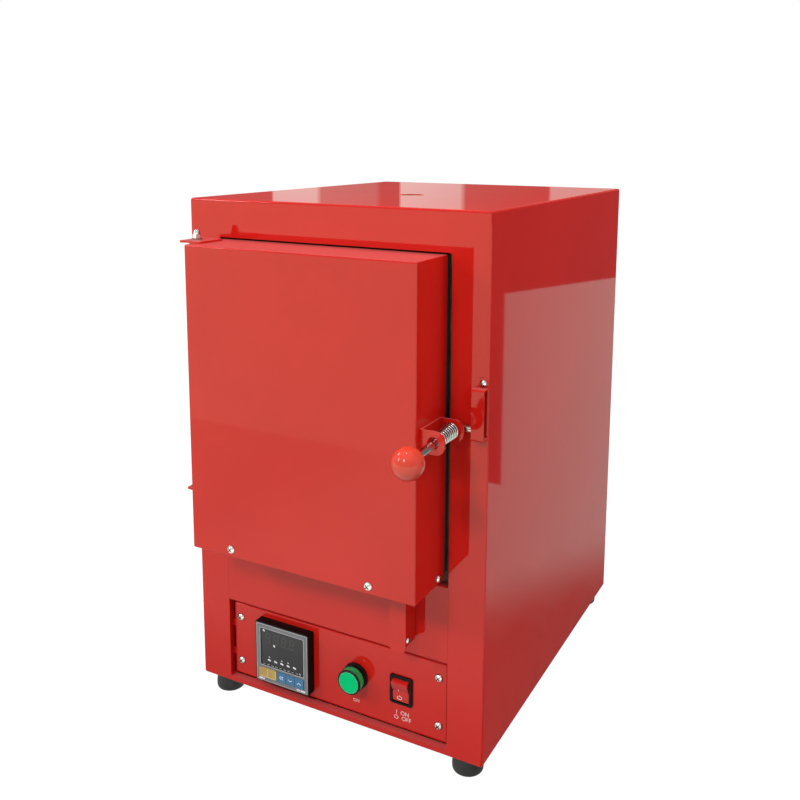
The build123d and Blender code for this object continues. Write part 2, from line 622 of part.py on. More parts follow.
def latch():
    """U bracket on the door's side, bent rod with its ball, and the keeper on the cabinet."""
    half_h = 11.25
    tip = 160.3
    rod_hole_r = 6.0
    ear = plate(DOOR_X, tip, LATCH_Z - half_h, LATCH_Z + half_h)
    ear = fillet(ear.vertices().sort_by(Axis.X)[2:], 9.0) - Pos(LATCH_X, LATCH_Z) * Circle(rod_hole_r)
    bracket = along_y(ear, EAR_FRONT_Y, EAR_FRONT_Y + EAR_T) + along_y(ear, EAR_REAR_Y - EAR_T, EAR_REAR_Y)
    web = plate(EAR_FRONT_Y, EAR_REAR_Y, LATCH_Z - half_h, LATCH_Z + half_h)
    bracket += along_x(web, DOOR_X, DOOR_X + EAR_T)
    keep("latch_bracket", bracket)

    reach = (DROOP_Y - BALL_Y) / cos(radians(DROOP))
    ball_y, bore_y = -reach, -reach + 8
    arm_y, arm_tip = ARM_Y - DROOP_Y, ARM_TIP_X - LATCH_X
    nose_h = 1.2
    path = FilletPolyline((0, bore_y, 0), (0, arm_y, 0), (arm_tip - nose_h, arm_y, 0), radius=6.5)
    rod = sweep(Plane(origin=path @ 0, z_dir=path % 0) * Circle(ROD_R), path=path)
    cone = Polyline((0, 0), (ROD_R, 0), (ROD_R - nose_h, nose_h), (0, nose_h), (0, 0))
    nose = revolve(Plane.XY * make_face(cone), Axis.Y)
    rod += Pos(arm_tip - nose_h, arm_y, 0) * Rot(0, 0, -90) * nose
    keep("latch_rod", latch_place() * rod)
    ball = Pos(0, ball_y, 0) * Sphere(BALL_R)
    ball -= round_y(0, 0, ROD_R + 0.05, bore_y - 0.1, ball_y + BALL_R + 1)
    mouth_r = 6.5
    ball -= round_y(0, 0, mouth_r, ball_y + sqrt(BALL_R ** 2 - mouth_r ** 2), ball_y + BALL_R + 1)
    keep("ball_knob", latch_place() * ball)

    outline = [(0, KEEPER_LOW), (KEEPER_FRONT, KEEPER_LOW), (KEEPER_FRONT, KEEPER_HIGH), (0, KEEPER_HIGH)]
    strap = along_x(folded(outline, KEEPER_T, 2.2, Side.RIGHT), KEEPER_LEFT, HALF_W)
    tab = plate(KEEPER_LEFT, HALF_W, KEEPER_HIGH - KEEPER_T, KEEPER_HIGH + 9.0)
    tab = fillet(tab.vertices().sort_by(Axis.Y)[2:], 4.0)
    strap += along_y(tab - Pos(KEEPER_SCREW_X, KEEPER_SCREW_Z) * Circle(1.7), -KEEPER_T, 0)
    keep("keeper", strap)


def spring_point(half_turn):
    """A point of the tapered coil and the coil's direction there, after so many half turns."""
    share = half_turn / SPRING_HALF_TURNS
    radius = SPRING_REAR_R + (SPRING_FRONT_R - SPRING_REAR_R) * share
    angle = pi * (SPRING_HALF_TURNS - half_turn)
    y = SPRING_REAR_Y + (SPRING_FRONT_Y - SPRING_REAR_Y) * share
    point = Vector(radius * cos(angle), y - DROOP_Y, radius * sin(angle))
    growth = (SPRING_FRONT_R - SPRING_REAR_R) / SPRING_HALF_TURNS / pi
    rise = (SPRING_FRONT_Y - SPRING_REAR_Y) / SPRING_HALF_TURNS / pi
    along = Vector(growth * cos(angle) + radius * sin(angle), rise, growth * sin(angle) - radius * cos(angle))
    return point, along.normalized()


def biarc(p0, t0, p1, t1):
    """Two arcs that leave p0 along t0 and reach p1 along t1."""
    across = p1 - p0
    both = t0 + t1
    a = both.dot(both) - 4
    b = across.dot(both)
    reach = (b - sqrt(b * b - a * across.dot(across))) / a
    middle = (p0 + t0 * reach + p1 - t1 * reach) * 0.5
    first = TangentArc(p0, middle, tangent=t0)
    return [first, TangentArc(middle, p1, tangent=first % 1)]


def latch_spring():
    """Wound wire spring round the rod, one unbroken tube with a free leg at each end."""
    stations = [spring_point(half) for half in range(SPRING_HALF_TURNS + 1)]
    edges = []
    for (p0, t0), (p1, t1) in zip(stations, stations[1:]):
        edges += biarc(p0, t0, p1, t1)
    first, first_way = stations[0]
    last, last_way = stations[-1]
    edges.insert(0, Line(first - first_way * SPRING_LEG, first))
    leg_end = last + last_way * SPRING_LEG
    hook_end = leg_end + (last_way + Vector(1, 0, 0)) * SPRING_HOOK_R
    edges += [Line(last, leg_end), TangentArc(leg_end, hook_end, tangent=last_way)]
    path = Wire(edges)
    spring = sweep(Plane(origin=path @ 0, z_dir=path % 0) * Circle(SPRING_WIRE_R), path=path)
    keep("latch_spring", latch_place() * spring)

    steps = 30
    sampled = [spring_point(i / steps)[0] for i in range(SPRING_HALF_TURNS * steps + 1)]
    apart = min((sampled[i] - sampled[j]).length for i in range(0, len(sampled), 4)
                for j in range(i + steps, min(i + 4 * steps, len(sampled)), 2))
    print(f"latch spring: least gap to itself {apart - 2 * SPRING_WIRE_R:.2f} mm")


def controller():
    """Temperature controller: case, face, dark window and four keys, and its rear clamp."""
    x, z, half = CONTROLLER_X, CONTROL_Z, CONTROLLER_HALF
    face_back = CONTROLLER_FRONT + 2.0
    middle = Pos(x, z)
    face_side = 2 * (half - CONTROLLER_RIM)
    window = plate(-92.0, -33.6, 38.9, 83.3, 1.5)
    key_slot = plate(KEYS[0][1] - KEY_GAP, KEYS[-1][2] + KEY_GAP, KEY_LOW - KEY_GAP, KEY_HIGH + KEY_GAP, 1.2)
    face = middle * RectangleRounded(face_side, face_side, 0.8) - window - key_slot
    face = along_y(face, CONTROLLER_FRONT, face_back)
    rim = face.faces().sort_by(Axis.Y)[0].outer_wire().edges()
    keep("controller_face", chamfer(rim, FACE_PROUD - 0.1))
    case = along_y(middle * RectangleRounded(2 * half, 2 * half, 1.2), CONTROLLER_FRONT + FACE_PROUD, PANEL_Y)
    case = chamfer(case.faces().sort_by(Axis.Y)[0].edges(), 0.3)
    face_room = middle * RectangleRounded(face_side + 0.1, face_side + 0.1, 0.85)
    case -= along_y(face_room, CONTROLLER_FRONT, face_back)
    rear = PANEL_Y + 76
    case += along_y(middle * RectangleRounded(2 * CASE_HALF, 2 * CASE_HALF, 2.0), PANEL_Y, rear)
    case += Pos(x, rear + 2, z) * Rot(90, 0, 0) * GridLocations(0, 22, 1, 2) * Box(56, 12, 4)
    case -= along_y(key_slot, face_back - 0.1, face_back + KEY_TRAVEL + 0.4)
    keep("controller_case", case)
    keep("controller_window", along_y(plate(-91.9, -33.7, 39.0, 83.2, 1.4), face_back - 1.4, face_back))
    for name, x0, x1 in KEYS:
        cap = along_y(plate(x0, x1, KEY_LOW, KEY_HIGH, 0.8), CONTROLLER_FRONT - KEY_TRAVEL - 0.1, face_back)
        keep(name, fillet(cap.faces().sort_by(Axis.Y)[0].edges(), 0.5))
    clamp_side, bore_side = 2 * half + 4, 2 * CASE_HALF + 0.4
    clamp = middle * (RectangleRounded(clamp_side, clamp_side, 3.0) - Rectangle(bore_side, bore_side))
    keep("controller_clamp", along_y(clamp, LIP_DEPTH + 0.2, LIP_DEPTH + 14))


def pilot_lamp():
    """Round indicator: black flange and threaded body, green lens, and its nut."""
    flange = [(0, -2.8), (14.0, -2.8), (14.75, -2.0), (14.75, 0), (10.9, 0), (10.9, 36), (0, 36), (0, -2.8)]
    body = revolve(Plane.XZ * make_face(Polyline(*flange)), Axis.Z)
    lens = [(0, -16.0), (11.6, -16.0), (12.3, -15.2), (12.5, -9.0), (12.9, -2.8), (0, -2.8), (0, -16.0)]
    cap = revolve(Plane.XZ * make_face(Polyline(*lens)), Axis.Z)
    seat = Pos(LAMP_X, PANEL_Y, CONTROL_Z) * Rot(-90, 0, 0)
    keep("lamp_body", seat * body)
    keep("lamp_lens", seat * cap)
    keep("lamp_nut", seat * along_z(hexagon(27.0) - Circle(11.0), PANEL_T, PANEL_T + 5))


def rocker_switch():
    """Snap-in switch: bezel with a boxed body, and a paddle on a cross pin."""
    x, z = ROCKER_X, CONTROL_Z
    front = PANEL_Y - 2.6
    frame = along_y(plate(x - 13.4, x + 13.4, z - 16.2, z + 16.2, 2.4), front, PANEL_Y)
    frame = chamfer(frame.faces().sort_by(Axis.Y)[0].edges(), 0.8)
    frame += along_y(Pos(x, z) * Rectangle(22, 29), PANEL_Y, PANEL_Y + 24)
    frame -= along_y(Pos(x, z) * Rectangle(19.8, 27.0), front - 1, PANEL_Y + 18)
    keep("rocker_bezel", frame)
    swing_r = 13.2
    tilt = radians(ROCKER_TILT)
    half = 15.0
    valley = PANEL_Y - 2.0
    peak, back = valley - half * tan(tilt), ROCKER_PIVOT_Y + 6
    top, low = z + half, z - half
    wedge = Polyline((valley, z), (peak, top), (back, top), (back, low), (peak, low), (valley, z))
    profile = make_face(wedge) & (Pos(ROCKER_PIVOT_Y, z) * Circle(swing_r))
    paddle = along_x(profile, x - 9.5, x + 9.5)
    pivot = Axis((x, ROCKER_PIVOT_Y, z), (1, 0, 0))
    keep("rocker_paddle", paddle.rotate(pivot, ROCKER_TILT))


def wiring_space():
    """What sits behind the panel: relay on its heat sink, terminal block and cable gland."""
    floor = 2 * SHEET
    fins = plate(-40, 40, floor, floor + 6)
    for n in range(9):
        x = -38.4 + n * 9.6
        fins += plate(x - 1.1, x + 1.1, floor + 6, floor + 30)
    fins += plate(-40, 40, floor + 28, floor + 33)
    keep("heat_sink", along_y(fins, 200, 290))
    top = floor + 33
    relay = board(-22.5, 22.5, 216, 274, top, top + 22)
    relay = fillet(relay.edges().filter_by(Axis.Z), 3.0)
    relay -= Pos(0, 245, top + 22) * GridLocations(28, 46, 2, 2) * Box(11, 9, 10)
    keep("solid_state_relay", relay)
    profile = Polyline((330, floor), (352, floor), (352, floor + 9), (346, floor + 16), (336, floor + 16),
                       (330, floor + 9), (330, floor))
    block = along_x(make_face(profile), 60, 108)
    for n in range(4):
        block -= round_z(66 + 12 * n, 341, 3.2, floor + 10, floor + 17)
    keep("terminal_block", block)
    bore_r = 4.0
    threaded = [(bore_r, -16), (7.9, -16), (7.9, 0)]
    shoulder = [(11.0, 0), (11.0, 5.5), (9.6, 6.0), (9.6, 10.5)]
    shell = threaded + shoulder + [(7.2, GLAND_OUT), (bore_r, GLAND_OUT), (bore_r, -16)]
    gland = revolve(Plane.XZ * make_face(Polyline(*shell)), Axis.Z)
    inner_nut = along_z(hexagon(21.0) - Circle(8.0), -SHEET - 5.5, -SHEET)
    seat = Pos(GLAND_X, BODY_D, GLAND_Z) * Rot(-90, 0, 0)
    keep("cable_gland", seat * gland, seat * inner_nut)


def main():
    outer_wrap()
    front_frame()
    middle_strip()
    control_panel()
    front_screws()
    rear_panel()
    base_tray()
    feet()
    shelf()
    lining()
    heating()
    hinges()
    door()
    striker()
    door_switch()
    latch()
    latch_spring()
    controller()
    pilot_lamp()
    rocker_switch()
    wiring_space()
    os.makedirs("parts", exist_ok=True)
    for name, shape in pieces.items():
        export_step(shape, f"parts/{name}.step")
    print(f"{len(pieces)} pieces, row shift in y {SHIFT_Y:.2f} mm")


main()
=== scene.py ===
"""The looks of a bench burnout furnace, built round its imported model.

Sizes are in millimetres, measured from the middle of the cabinet's front bottom edge:
x to the right, y into the furnace and z up, as in the source of the solids.
"""
from math import cos, pi, radians, sin

import bpy
from mathutils import Matrix, Vector


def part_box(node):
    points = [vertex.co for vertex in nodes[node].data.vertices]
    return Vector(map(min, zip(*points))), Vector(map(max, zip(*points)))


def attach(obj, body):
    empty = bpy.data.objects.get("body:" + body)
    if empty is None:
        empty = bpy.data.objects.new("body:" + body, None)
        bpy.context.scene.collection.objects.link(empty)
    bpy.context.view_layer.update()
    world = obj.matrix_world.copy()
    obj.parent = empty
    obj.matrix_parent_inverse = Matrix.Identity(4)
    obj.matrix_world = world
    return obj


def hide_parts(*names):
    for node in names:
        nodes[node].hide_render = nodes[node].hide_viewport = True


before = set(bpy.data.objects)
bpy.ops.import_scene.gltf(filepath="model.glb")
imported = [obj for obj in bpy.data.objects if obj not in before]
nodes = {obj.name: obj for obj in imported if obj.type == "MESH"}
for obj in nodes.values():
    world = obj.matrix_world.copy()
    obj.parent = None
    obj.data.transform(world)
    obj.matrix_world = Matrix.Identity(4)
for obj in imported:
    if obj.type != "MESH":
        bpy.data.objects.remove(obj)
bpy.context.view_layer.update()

# Painted sheet steel: the folded cabinet wrap, its front sheet, strip, panel and back, the door
# tray and the small brackets. Mild steel sheet, cut, folded and sprayed in one glossy red enamel,
# baked hard, with a faint orange-peel ripple. Ledges below the top that face up get a pale painted
# sheen, standing in for the reflection they catch.


def shade(red, green, blue):
    """A colour picked on a screen, as the shader wants it."""
    parts = [channel / 255 for channel in (red, green, blue)]
    return tuple(c / 12.92 if c <= 0.04045 else ((c + 0.055) / 1.055) ** 2.4 for c in parts) + (1.0,)


def effect_group(name, inputs, outputs):
    """An empty shader group with named inputs and outputs."""
    group = bpy.data.node_groups.new(name, "ShaderNodeTree")
    for label, kind, start in inputs:
        socket = group.interface.new_socket(label, in_out="INPUT", socket_type="NodeSocket" + kind)
        socket.default_value = start
    for label, kind in outputs:
        group.interface.new_socket(label, in_out="OUTPUT", socket_type="NodeSocket" + kind)
    return group, group.nodes.new("NodeGroupInput"), group.nodes.new("NodeGroupOutput")


def add_node(tree, kind, settings=None, **values):
    """One shader node, with its settings and the fixed values of its inputs."""
    node = tree.nodes.new(kind)
    for key, value in (settings or {}).items():
        setattr(node, key, value)
    for key, value in values.items():
        node.inputs[key.replace("_", " ")].default_value = value
    return node


def noise_by_size(tree, size_socket, detail, roughness=0.5):
    """Noise on object coordinates whose lumps are as big as a size in metres says."""
    place = tree.nodes.new("ShaderNodeTexCoord")
    per_metre = add_node(tree, "ShaderNodeMath", {"operation": "DIVIDE"})
    per_metre.inputs[0].default_value = 1.0
    noise = add_node(tree, "ShaderNodeTexNoise", Detail=detail, Roughness=roughness)
    tree.links.new(size_socket, per_metre.inputs[1])
    tree.links.new(place.outputs["Object"], noise.inputs["Vector"])
    tree.links.new(per_metre.outputs[0], noise.inputs["Scale"])
    return noise


mottle, into, out = effect_group(
    "mottled_colour",
    [("Light", "Color", (1, 1, 1, 1)), ("Dark", "Color", (0, 0, 0, 1)), ("Patch Size", "Float", 0.1)],
    [("Colour", "Color")])
clouds = noise_by_size(mottle, into.outputs["Patch Size"], 5.0, 0.55)
spread = add_node(mottle, "ShaderNodeMapRange", From_Min=0.32, From_Max=0.68)
blend = add_node(mottle, "ShaderNodeMix", {"data_type": "RGBA"})
mottle.links.new(clouds.outputs["Fac"], spread.inputs["Value"])
mottle.links.new(spread.outputs["Result"], blend.inputs["Factor"])
mottle.links.new(into.outputs["Dark"], blend.inputs[6])
mottle.links.new(into.outputs["Light"], blend.inputs[7])
mottle.links.new(blend.outputs[2], out.inputs["Colour"])

grain, into, out = effect_group("fine_grain", [("Grain Size", "Float", 0.001)], [("Height", "Float")])
lumps = noise_by_size(grain, into.outputs["Grain Size"], 2.0)
grain.links.new(lumps.outputs["Fac"], out.inputs["Height"])

wiped, into, out = effect_group(
    "wiped_sheen",
    [("Smooth", "Float", 0.2), ("Rough", "Float", 0.4), ("Smear Size", "Float", 0.08)],
    [("Roughness", "Float")])
smears = noise_by_size(wiped, into.outputs["Smear Size"], 6.0, 0.62)
smears.inputs["Distortion"].default_value = 0.6
levels = add_node(wiped, "ShaderNodeMapRange", From_Min=0.35, From_Max=0.7)
wiped.links.new(smears.outputs["Fac"], levels.inputs["Value"])
wiped.links.new(into.outputs["Smooth"], levels.inputs["To Min"])
wiped.links.new(into.outputs["Rough"], levels.inputs["To Max"])
wiped.links.new(levels.outputs["Result"], out.inputs["Roughness"])


def place_group(tree, group, **values):
    """A copy of a shader group with this material's own values."""
    node = tree.nodes.new("ShaderNodeGroup")
    node.node_tree = group
    for key, value in values.items():
        node.inputs[key.replace("_", " ")].default_value = value
    return node


def finish(name, light, dark, patch, smooth, rough, smear, grain_size, relief, **fixed):
    """A material with a mottled colour, an uneven sheen and a fine relief; sizes in millimetres."""
    material = bpy.data.materials.new(name)
    material.use_nodes = True
    tree = material.node_tree
    shader = tree.nodes["Principled BSDF"]
    for key, value in fixed.items():
        shader.inputs[key.replace("_", " ")].default_value = value
    colour = place_group(tree, mottle, Light=light, Dark=dark, Patch_Size=patch / 1000)
    sheen = place_group(tree, wiped, Smooth=smooth, Rough=rough, Smear_Size=smear / 1000)
    ripple = place_group(tree, grain, Grain_Size=grain_size / 1000)
    bump = add_node(tree, "ShaderNodeBump", Strength=1.0, Distance=relief / 1000)
    tree.links.new(colour.outputs["Colour"], shader.inputs["Base Color"])
    tree.links.new(sheen.outputs["Roughness"], shader.inputs["Roughness"])
    tree.links.new(ripple.outputs["Height"], bump.inputs["Height"])
    tree.links.new(bump.outputs["Normal"], shader.inputs["Normal"])
    return material


def dress(material, *names):
    """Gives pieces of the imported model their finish."""
    for name in names:
        nodes[name].material_slots[0].material = material


def paint_over(material, mask, colour):
    """Lays a second colour over a finish, as far as a mask socket says."""
    tree = material.node_tree
    base_colour = tree.nodes["Principled BSDF"].inputs["Base Color"]
    mix = add_node(tree, "ShaderNodeMix", {"data_type": "RGBA"})
    tree.links.new(mask, mix.inputs["Factor"])
    tree.links.new(base_colour.links[0].from_socket, mix.inputs[6])
    mix.inputs[7].default_value = colour
    tree.links.new(mix.outputs[2], base_colour)


enamel = finish(
    "red_enamel", shade(208, 30, 21), shade(200, 27, 19), patch=140, smooth=0.10, rough=0.16, smear=90,
    grain_size=3.2, relief=0.008, IOR=1.5, Specular_IOR_Level=0.0, Coat_Weight=0.5,
    Coat_Roughness=0.035)
# Faces that look up, below the top, are painted paler: a painted sheen standing in for the reflection they
# catch.
ledge_limit, ledge_sheen_share = 0.57, 0.14
tree = enamel.node_tree
place = tree.nodes.new("ShaderNodeTexCoord")
facing = add_node(tree, "ShaderNodeSeparateXYZ")
upward = add_node(tree, "ShaderNodeMapRange", From_Min=0.8, From_Max=0.98)
spot = add_node(tree, "ShaderNodeSeparateXYZ")
ledges = add_node(tree, "ShaderNodeMapRange", From_Min=ledge_limit, From_Max=ledge_limit + 0.01,
                  To_Min=ledge_sheen_share, To_Max=0.0)
ledge_sheen = add_node(tree, "ShaderNodeMath", {"operation": "MULTIPLY"})
tree.links.new(place.outputs["Normal"], facing.inputs["Vector"])
tree.links.new(place.outputs["Object"], spot.inputs["Vector"])
tree.links.new(facing.outputs["Z"], upward.inputs["Value"])
tree.links.new(spot.outputs["Z"], ledges.inputs["Value"])
tree.links.new(upward.outputs["Result"], ledge_sheen.inputs[0])
tree.links.new(ledges.outputs["Result"], ledge_sheen.inputs[1])
paint_over(enamel, ledge_sheen.outputs["Value"], shade(176, 196, 194))
dress(enamel, "outer_wrap", "front_frame", "middle_strip", "control_panel", "rear_panel", "door_shell",
      "door_leaf_upper", "door_leaf_lower", "cabinet_leaf_upper", "cabinet_leaf_lower", "striker_strap",
      "keeper", "latch_bracket")

# Inner sheet steel: the bottom tray, the shelf under the lining, the frame that holds the door's
# pad and the foot that meets the door switch. Galvanised sheet, left bare, with the crystal
# flowers of the zinc in it.

zinc = finish(
    "zinc_sheet", shade(196, 199, 201), shade(168, 171, 174), patch=30, smooth=0.28, rough=0.46,
    smear=40, grain_size=0.8, relief=0.01, Metallic=1.0)
tree = zinc.node_tree
place = tree.nodes.new("ShaderNodeTexCoord")
flowers = add_node(tree, "ShaderNodeTexVoronoi", Scale=110.0)
flower_tone = add_node(tree, "ShaderNodeMapRange", From_Max=1.0, To_Max=0.4)
tree.links.new(place.outputs["Object"], flowers.inputs["Vector"])
tree.links.new(flowers.outputs["Color"], flower_tone.inputs["Value"])
paint_over(zinc, flower_tone.outputs["Result"], shade(132, 136, 140))
dress(zinc, "base_tray", "lining_shelf", "pad_frame", "striker_foot")

# Screws, washers, cap nuts, hinge pins and the bent latch rod. Turned and headed steel with
# bright nickel plating, handled at assembly, so the shine is a little uneven.

# Painted shade: an occlusion mask darkens hollows, standing in for the shade that falls in them.
crease, into, out = effect_group("dirty_creases", [("Reach", "Float", 0.001)], [("Mask", "Float")])
hollows = add_node(crease, "ShaderNodeAmbientOcclusion", {"samples": 12})
crease_levels = add_node(crease, "ShaderNodeMapRange", From_Min=0.3, From_Max=0.8, To_Min=1.0, To_Max=0.0)
crease.links.new(into.outputs["Reach"], hollows.inputs["Distance"])
crease.links.new(hollows.outputs["AO"], crease_levels.inputs["Value"])
crease.links.new(crease_levels.outputs["Result"], out.inputs["Mask"])


def paint_crease_shade(material, reach, colour):
    """Paints shade into a finish where its surface lies in a hollow narrower than the reach in millimetres.
    """
    mask = place_group(material.node_tree, crease, Reach=reach / 1000)
    paint_over(material, mask.outputs["Mask"], colour)


plated = finish(
    "bright_plating", shade(214, 213, 210), shade(190, 189, 187), patch=6, smooth=0.12, rough=0.26,
    smear=8, grain_size=0.25, relief=0.002, Metallic=1.0)
# Painted shade in the screws' cross recesses and round their heads where they meet the sheet.
paint_crease_shade(plated, 5.0, shade(16, 14, 13))
dress(plated, "front_screws", "door_screws", "cabinet_screws", "hinge_pins", "hinge_nuts_washers",
      "latch_rod")

# Mouth gasket: a band of black heat-proof glass tape glued round the mouth, which the door closes
# on. It is matt and woven, a little furry where it is rubbed.

tape = finish(
    "woven_tape", shade(22, 22, 23), shade(14, 14, 15), patch=9, smooth=0.72, rough=0.92, smear=6,
    grain_size=1.4, relief=0.3)
tree = tape.node_tree
place = tree.nodes.new("ShaderNodeTexCoord")
warp = add_node(tree, "ShaderNodeTexWave", {"wave_type": "BANDS", "bands_direction": "DIAGONAL"}, Scale=170.0,
                Distortion=0.6, Detail=1.0)
thread_tone = add_node(tree, "ShaderNodeMapRange", To_Min=0.0, To_Max=0.5)
tree.links.new(place.outputs["Object"], warp.inputs["Vector"])
tree.links.new(warp.outputs["Fac"], thread_tone.inputs["Value"])
paint_over(tape, thread_tone.outputs["Result"], shade(34, 34, 35))
dress(tape, "mouth_gasket")

# Chamber lining, mouth collar and door pad: vacuum-formed ceramic fibre board, sawn and glued.
# Chalk white, matt, with stray fibres and shot specks in it and a rough sawn surface. The mouth
# collar is painted dark brown, a painted shade for the narrow gap round the door.

speck, into, out = effect_group(
    "small_specks",
    [("Per Metre", "Float", 260.0), ("Core", "Float", 0.05), ("Edge", "Float", 0.15),
     ("Share", "Float", 0.5)],
    [("Mask", "Float")])
place = speck.nodes.new("ShaderNodeTexCoord")
specks = add_node(speck, "ShaderNodeTexVoronoi")
speck_mask = add_node(speck, "ShaderNodeMapRange", To_Max=0.0)
speck.links.new(place.outputs["Object"], specks.inputs["Vector"])
speck.links.new(into.outputs["Per Metre"], specks.inputs["Scale"])
speck.links.new(specks.outputs["Distance"], speck_mask.inputs["Value"])
speck.links.new(into.outputs["Core"], speck_mask.inputs["From Min"])
speck.links.new(into.outputs["Edge"], speck_mask.inputs["From Max"])
speck.links.new(into.outputs["Share"], speck_mask.inputs["To Min"])
speck.links.new(speck_mask.outputs["Result"], out.inputs["Mask"])


def speckle(material, per_metre, core, edge, share, colour):
    """Scatters small specks through a finish; core and edge are parts of the specks' spacing."""
    mask = place_group(material.node_tree, speck, Per_Metre=per_metre, Core=core, Edge=edge, Share=share)
    paint_over(material, mask.outputs["Mask"], colour)


board = finish(
    "fibre_board", shade(236, 232, 222), shade(222, 215, 200), patch=55, smooth=0.86, rough=0.98,
    smear=20, grain_size=1.1, relief=0.5)
speckle(board, 260, 0.05, 0.16, 0.55, shade(176, 164, 140))
dress(board, "floor_board", "roof_board", "left_board", "right_board", "back_board", "door_pad")
# Painted shade: the collar's dark brown stands in for the shade in the gap between door and mouth.
shaded_collar = finish(
    "scorched_board", shade(96, 78, 60), shade(58, 46, 36), patch=22, smooth=0.86, rough=0.98, smear=20,
    grain_size=1.1, relief=0.5)
dress(shaded_collar, "mouth_collar")

# Hearth plate, heater posts, probe head and flue tube: cast and fired refractory, buff, harder
# and smoother than the board, with small iron specks.

fired = finish(
    "fired_clay", shade(214, 198, 168), shade(196, 176, 142), patch=24, smooth=0.6, rough=0.82,
    smear=16, grain_size=0.7, relief=0.12)
speckle(fired, 420, 0.08, 0.14, 0.8, shade(120, 88, 58))
dress(fired, "hearth_plate", "heater_terminals", "thermocouple_head", "flue_tube")

# Heating coils: round resistance wire wound into a close coil and laid in the groove of each
# side wall, its straight twisted tails led out through the back. The wire has gone dark with
# oxide, as has the sheath of the temperature probe.

front_y, base_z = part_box("front_frame")[0].yz


def at(x, y, z):
    """A point measured from the cabinet's front bottom edge, in the model's own frame and metres."""
    return Vector((x / 1000, front_y + y / 1000, base_z + z / 1000))


def wire_piece(name, strands, wire_r, material, kind="POLY", sides=2):
    """Round wire along one or more lines of points, each point with its own thickness, as a mesh."""
    curve = bpy.data.curves.new(name, "CURVE")
    curve.dimensions = "3D"
    curve.bevel_depth = wire_r / 1000
    curve.bevel_resolution = sides
    curve.use_fill_caps = True
    for strand in strands:
        spline = curve.splines.new(kind)
        spline.points.add(len(strand) - 1)
        for point, (spot, thick) in zip(spline.points, strand):
            point.co = (*spot, 1.0)
            point.radius = thick
        if kind == "NURBS":
            spline.order_u = 4
            spline.use_endpoint_u = True
            spline.resolution_u = 4
    piece = bpy.data.objects.new(name, curve)
    bpy.context.scene.collection.objects.link(piece)
    bpy.ops.object.select_all(action="DESELECT")
    piece.select_set(True)
    bpy.context.view_layer.objects.active = piece
    bpy.ops.object.convert(target="MESH")
    piece = bpy.context.object
    piece.data.materials.clear()
    piece.data.materials.append(material)
    bpy.ops.object.shade_smooth()
    return piece


oxide = finish(
    "oxidised_wire", shade(92, 84, 78), shade(58, 54, 52), patch=5, smooth=0.42, rough=0.66, smear=6,
    grain_size=0.3, relief=0.02, Metallic=0.75)
dress(oxide, "heating_coil_left", "heating_coil_right", "thermocouple")
coil_x, coil_low, coil_rise, coil_runs = 100.0, 262.0, 38.4, 6
coil_front, coil_back, wall_back, tail_end = 48.0, 292.0, 308.0, 416.0
coil_turn = coil_rise / 2
winding_r, winding_pitch, strand_r, tail_r = 4.2, 3.4, 0.75, 2.5
steps_per_turn = 10


def coil_route():
    """The line up the wall that one coil follows, in (y, z), with the way along it, every 0.34 mm."""
    near, far = coil_front + coil_turn, coil_back - coil_turn
    step = winding_pitch / steps_per_turn
    spots = []
    for run in range(coil_runs):
        z = coil_low + run * coil_rise
        forward = run % 2 == 0
        start = far if forward else near
        end = near if forward else far
        if run == 0:
            start = wall_back
        if run == coil_runs - 1:
            end = wall_back
        count = int(abs(end - start) / step)
        way = 1.0 if end > start else -1.0
        spots += [((start + way * step * i, z), (way, 0.0)) for i in range(count)]
        if run < coil_runs - 1:
            hub, side = (near, -1.0) if forward else (far, 1.0)
            bends = int(pi * coil_turn / step)
            for i in range(bends):
                turn = pi * i / bends
                spot = (hub + side * coil_turn * sin(turn), z + coil_turn - coil_turn * cos(turn))
                spots.append((spot, (side * cos(turn), sin(turn))))
    return spots


for side, name, node in ((-1, "wound_element_left", "heating_coil_left"),
                         (1, "wound_element_right", "heating_coil_right")):
    windings = []
    for i, ((y, z), (way_y, way_z)) in enumerate(coil_route()):
        turn = 2 * pi * i / steps_per_turn
        across, outward = winding_r * cos(turn), winding_r * sin(turn)
        windings.append((at(side * coil_x + outward, y - way_z * across, z + way_y * across), 1.0))
    tails = [[(at(side * coil_x, y, z), tail_r / strand_r) for y in (wall_back - 6, tail_end)]
             for z in (coil_low, coil_low + coil_rise * (coil_runs - 1))]
    element = wire_piece(name, [windings] + tails, strand_r, oxide, sides=1)
    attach(element, "cabinet")
    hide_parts(node)

# Latch: the U bracket on the door, the bent rod through it with the moulded ball, and the wound
# wire spring between the bracket's ears. The spring is hard-drawn steel wire, coiled on a taper,
# with a short free leg at each end.

ball_gloss = finish(
    "moulded_ball", shade(218, 68, 48), shade(210, 62, 44), patch=18, smooth=0.04, rough=0.08, smear=20,
    grain_size=1.5, relief=0.002, IOR=1.5, Specular_IOR_Level=0.28)
dress(ball_gloss, "ball_knob")
latch_x, latch_y, latch_z = 148.5, -33.0, 355.5
droop = radians(3.2)
spring_half_turns, spring_wire = 17, 0.7
spring_rear_y, spring_front_y = -16.5, -45.0
spring_rear_r, spring_front_r = 7.7, 5.9
leg_length, hook_r = 4.6, 1.4
steps_per_half_turn = 6
spring_pull = 3 / (2 + cos(pi / steps_per_half_turn))  # a smooth curve runs inside its control points


def latch_spot(x, along, z):
    """A point given from the latch's pivot, with its y along the drooping rod."""
    return at(latch_x + x, latch_y + along * cos(droop) - z * sin(droop),
              latch_z + along * sin(droop) + z * cos(droop))


def spring_spot(half_turn):
    """A control point of the tapered coil after so many half turns from its rear end."""
    share = half_turn / spring_half_turns
    radius = (spring_rear_r + (spring_front_r - spring_rear_r) * share) * spring_pull
    angle = pi * (spring_half_turns - half_turn)
    along = spring_rear_y + (spring_front_y - spring_rear_y) * share - latch_y
    return latch_spot(radius * cos(angle), along, radius * sin(angle))


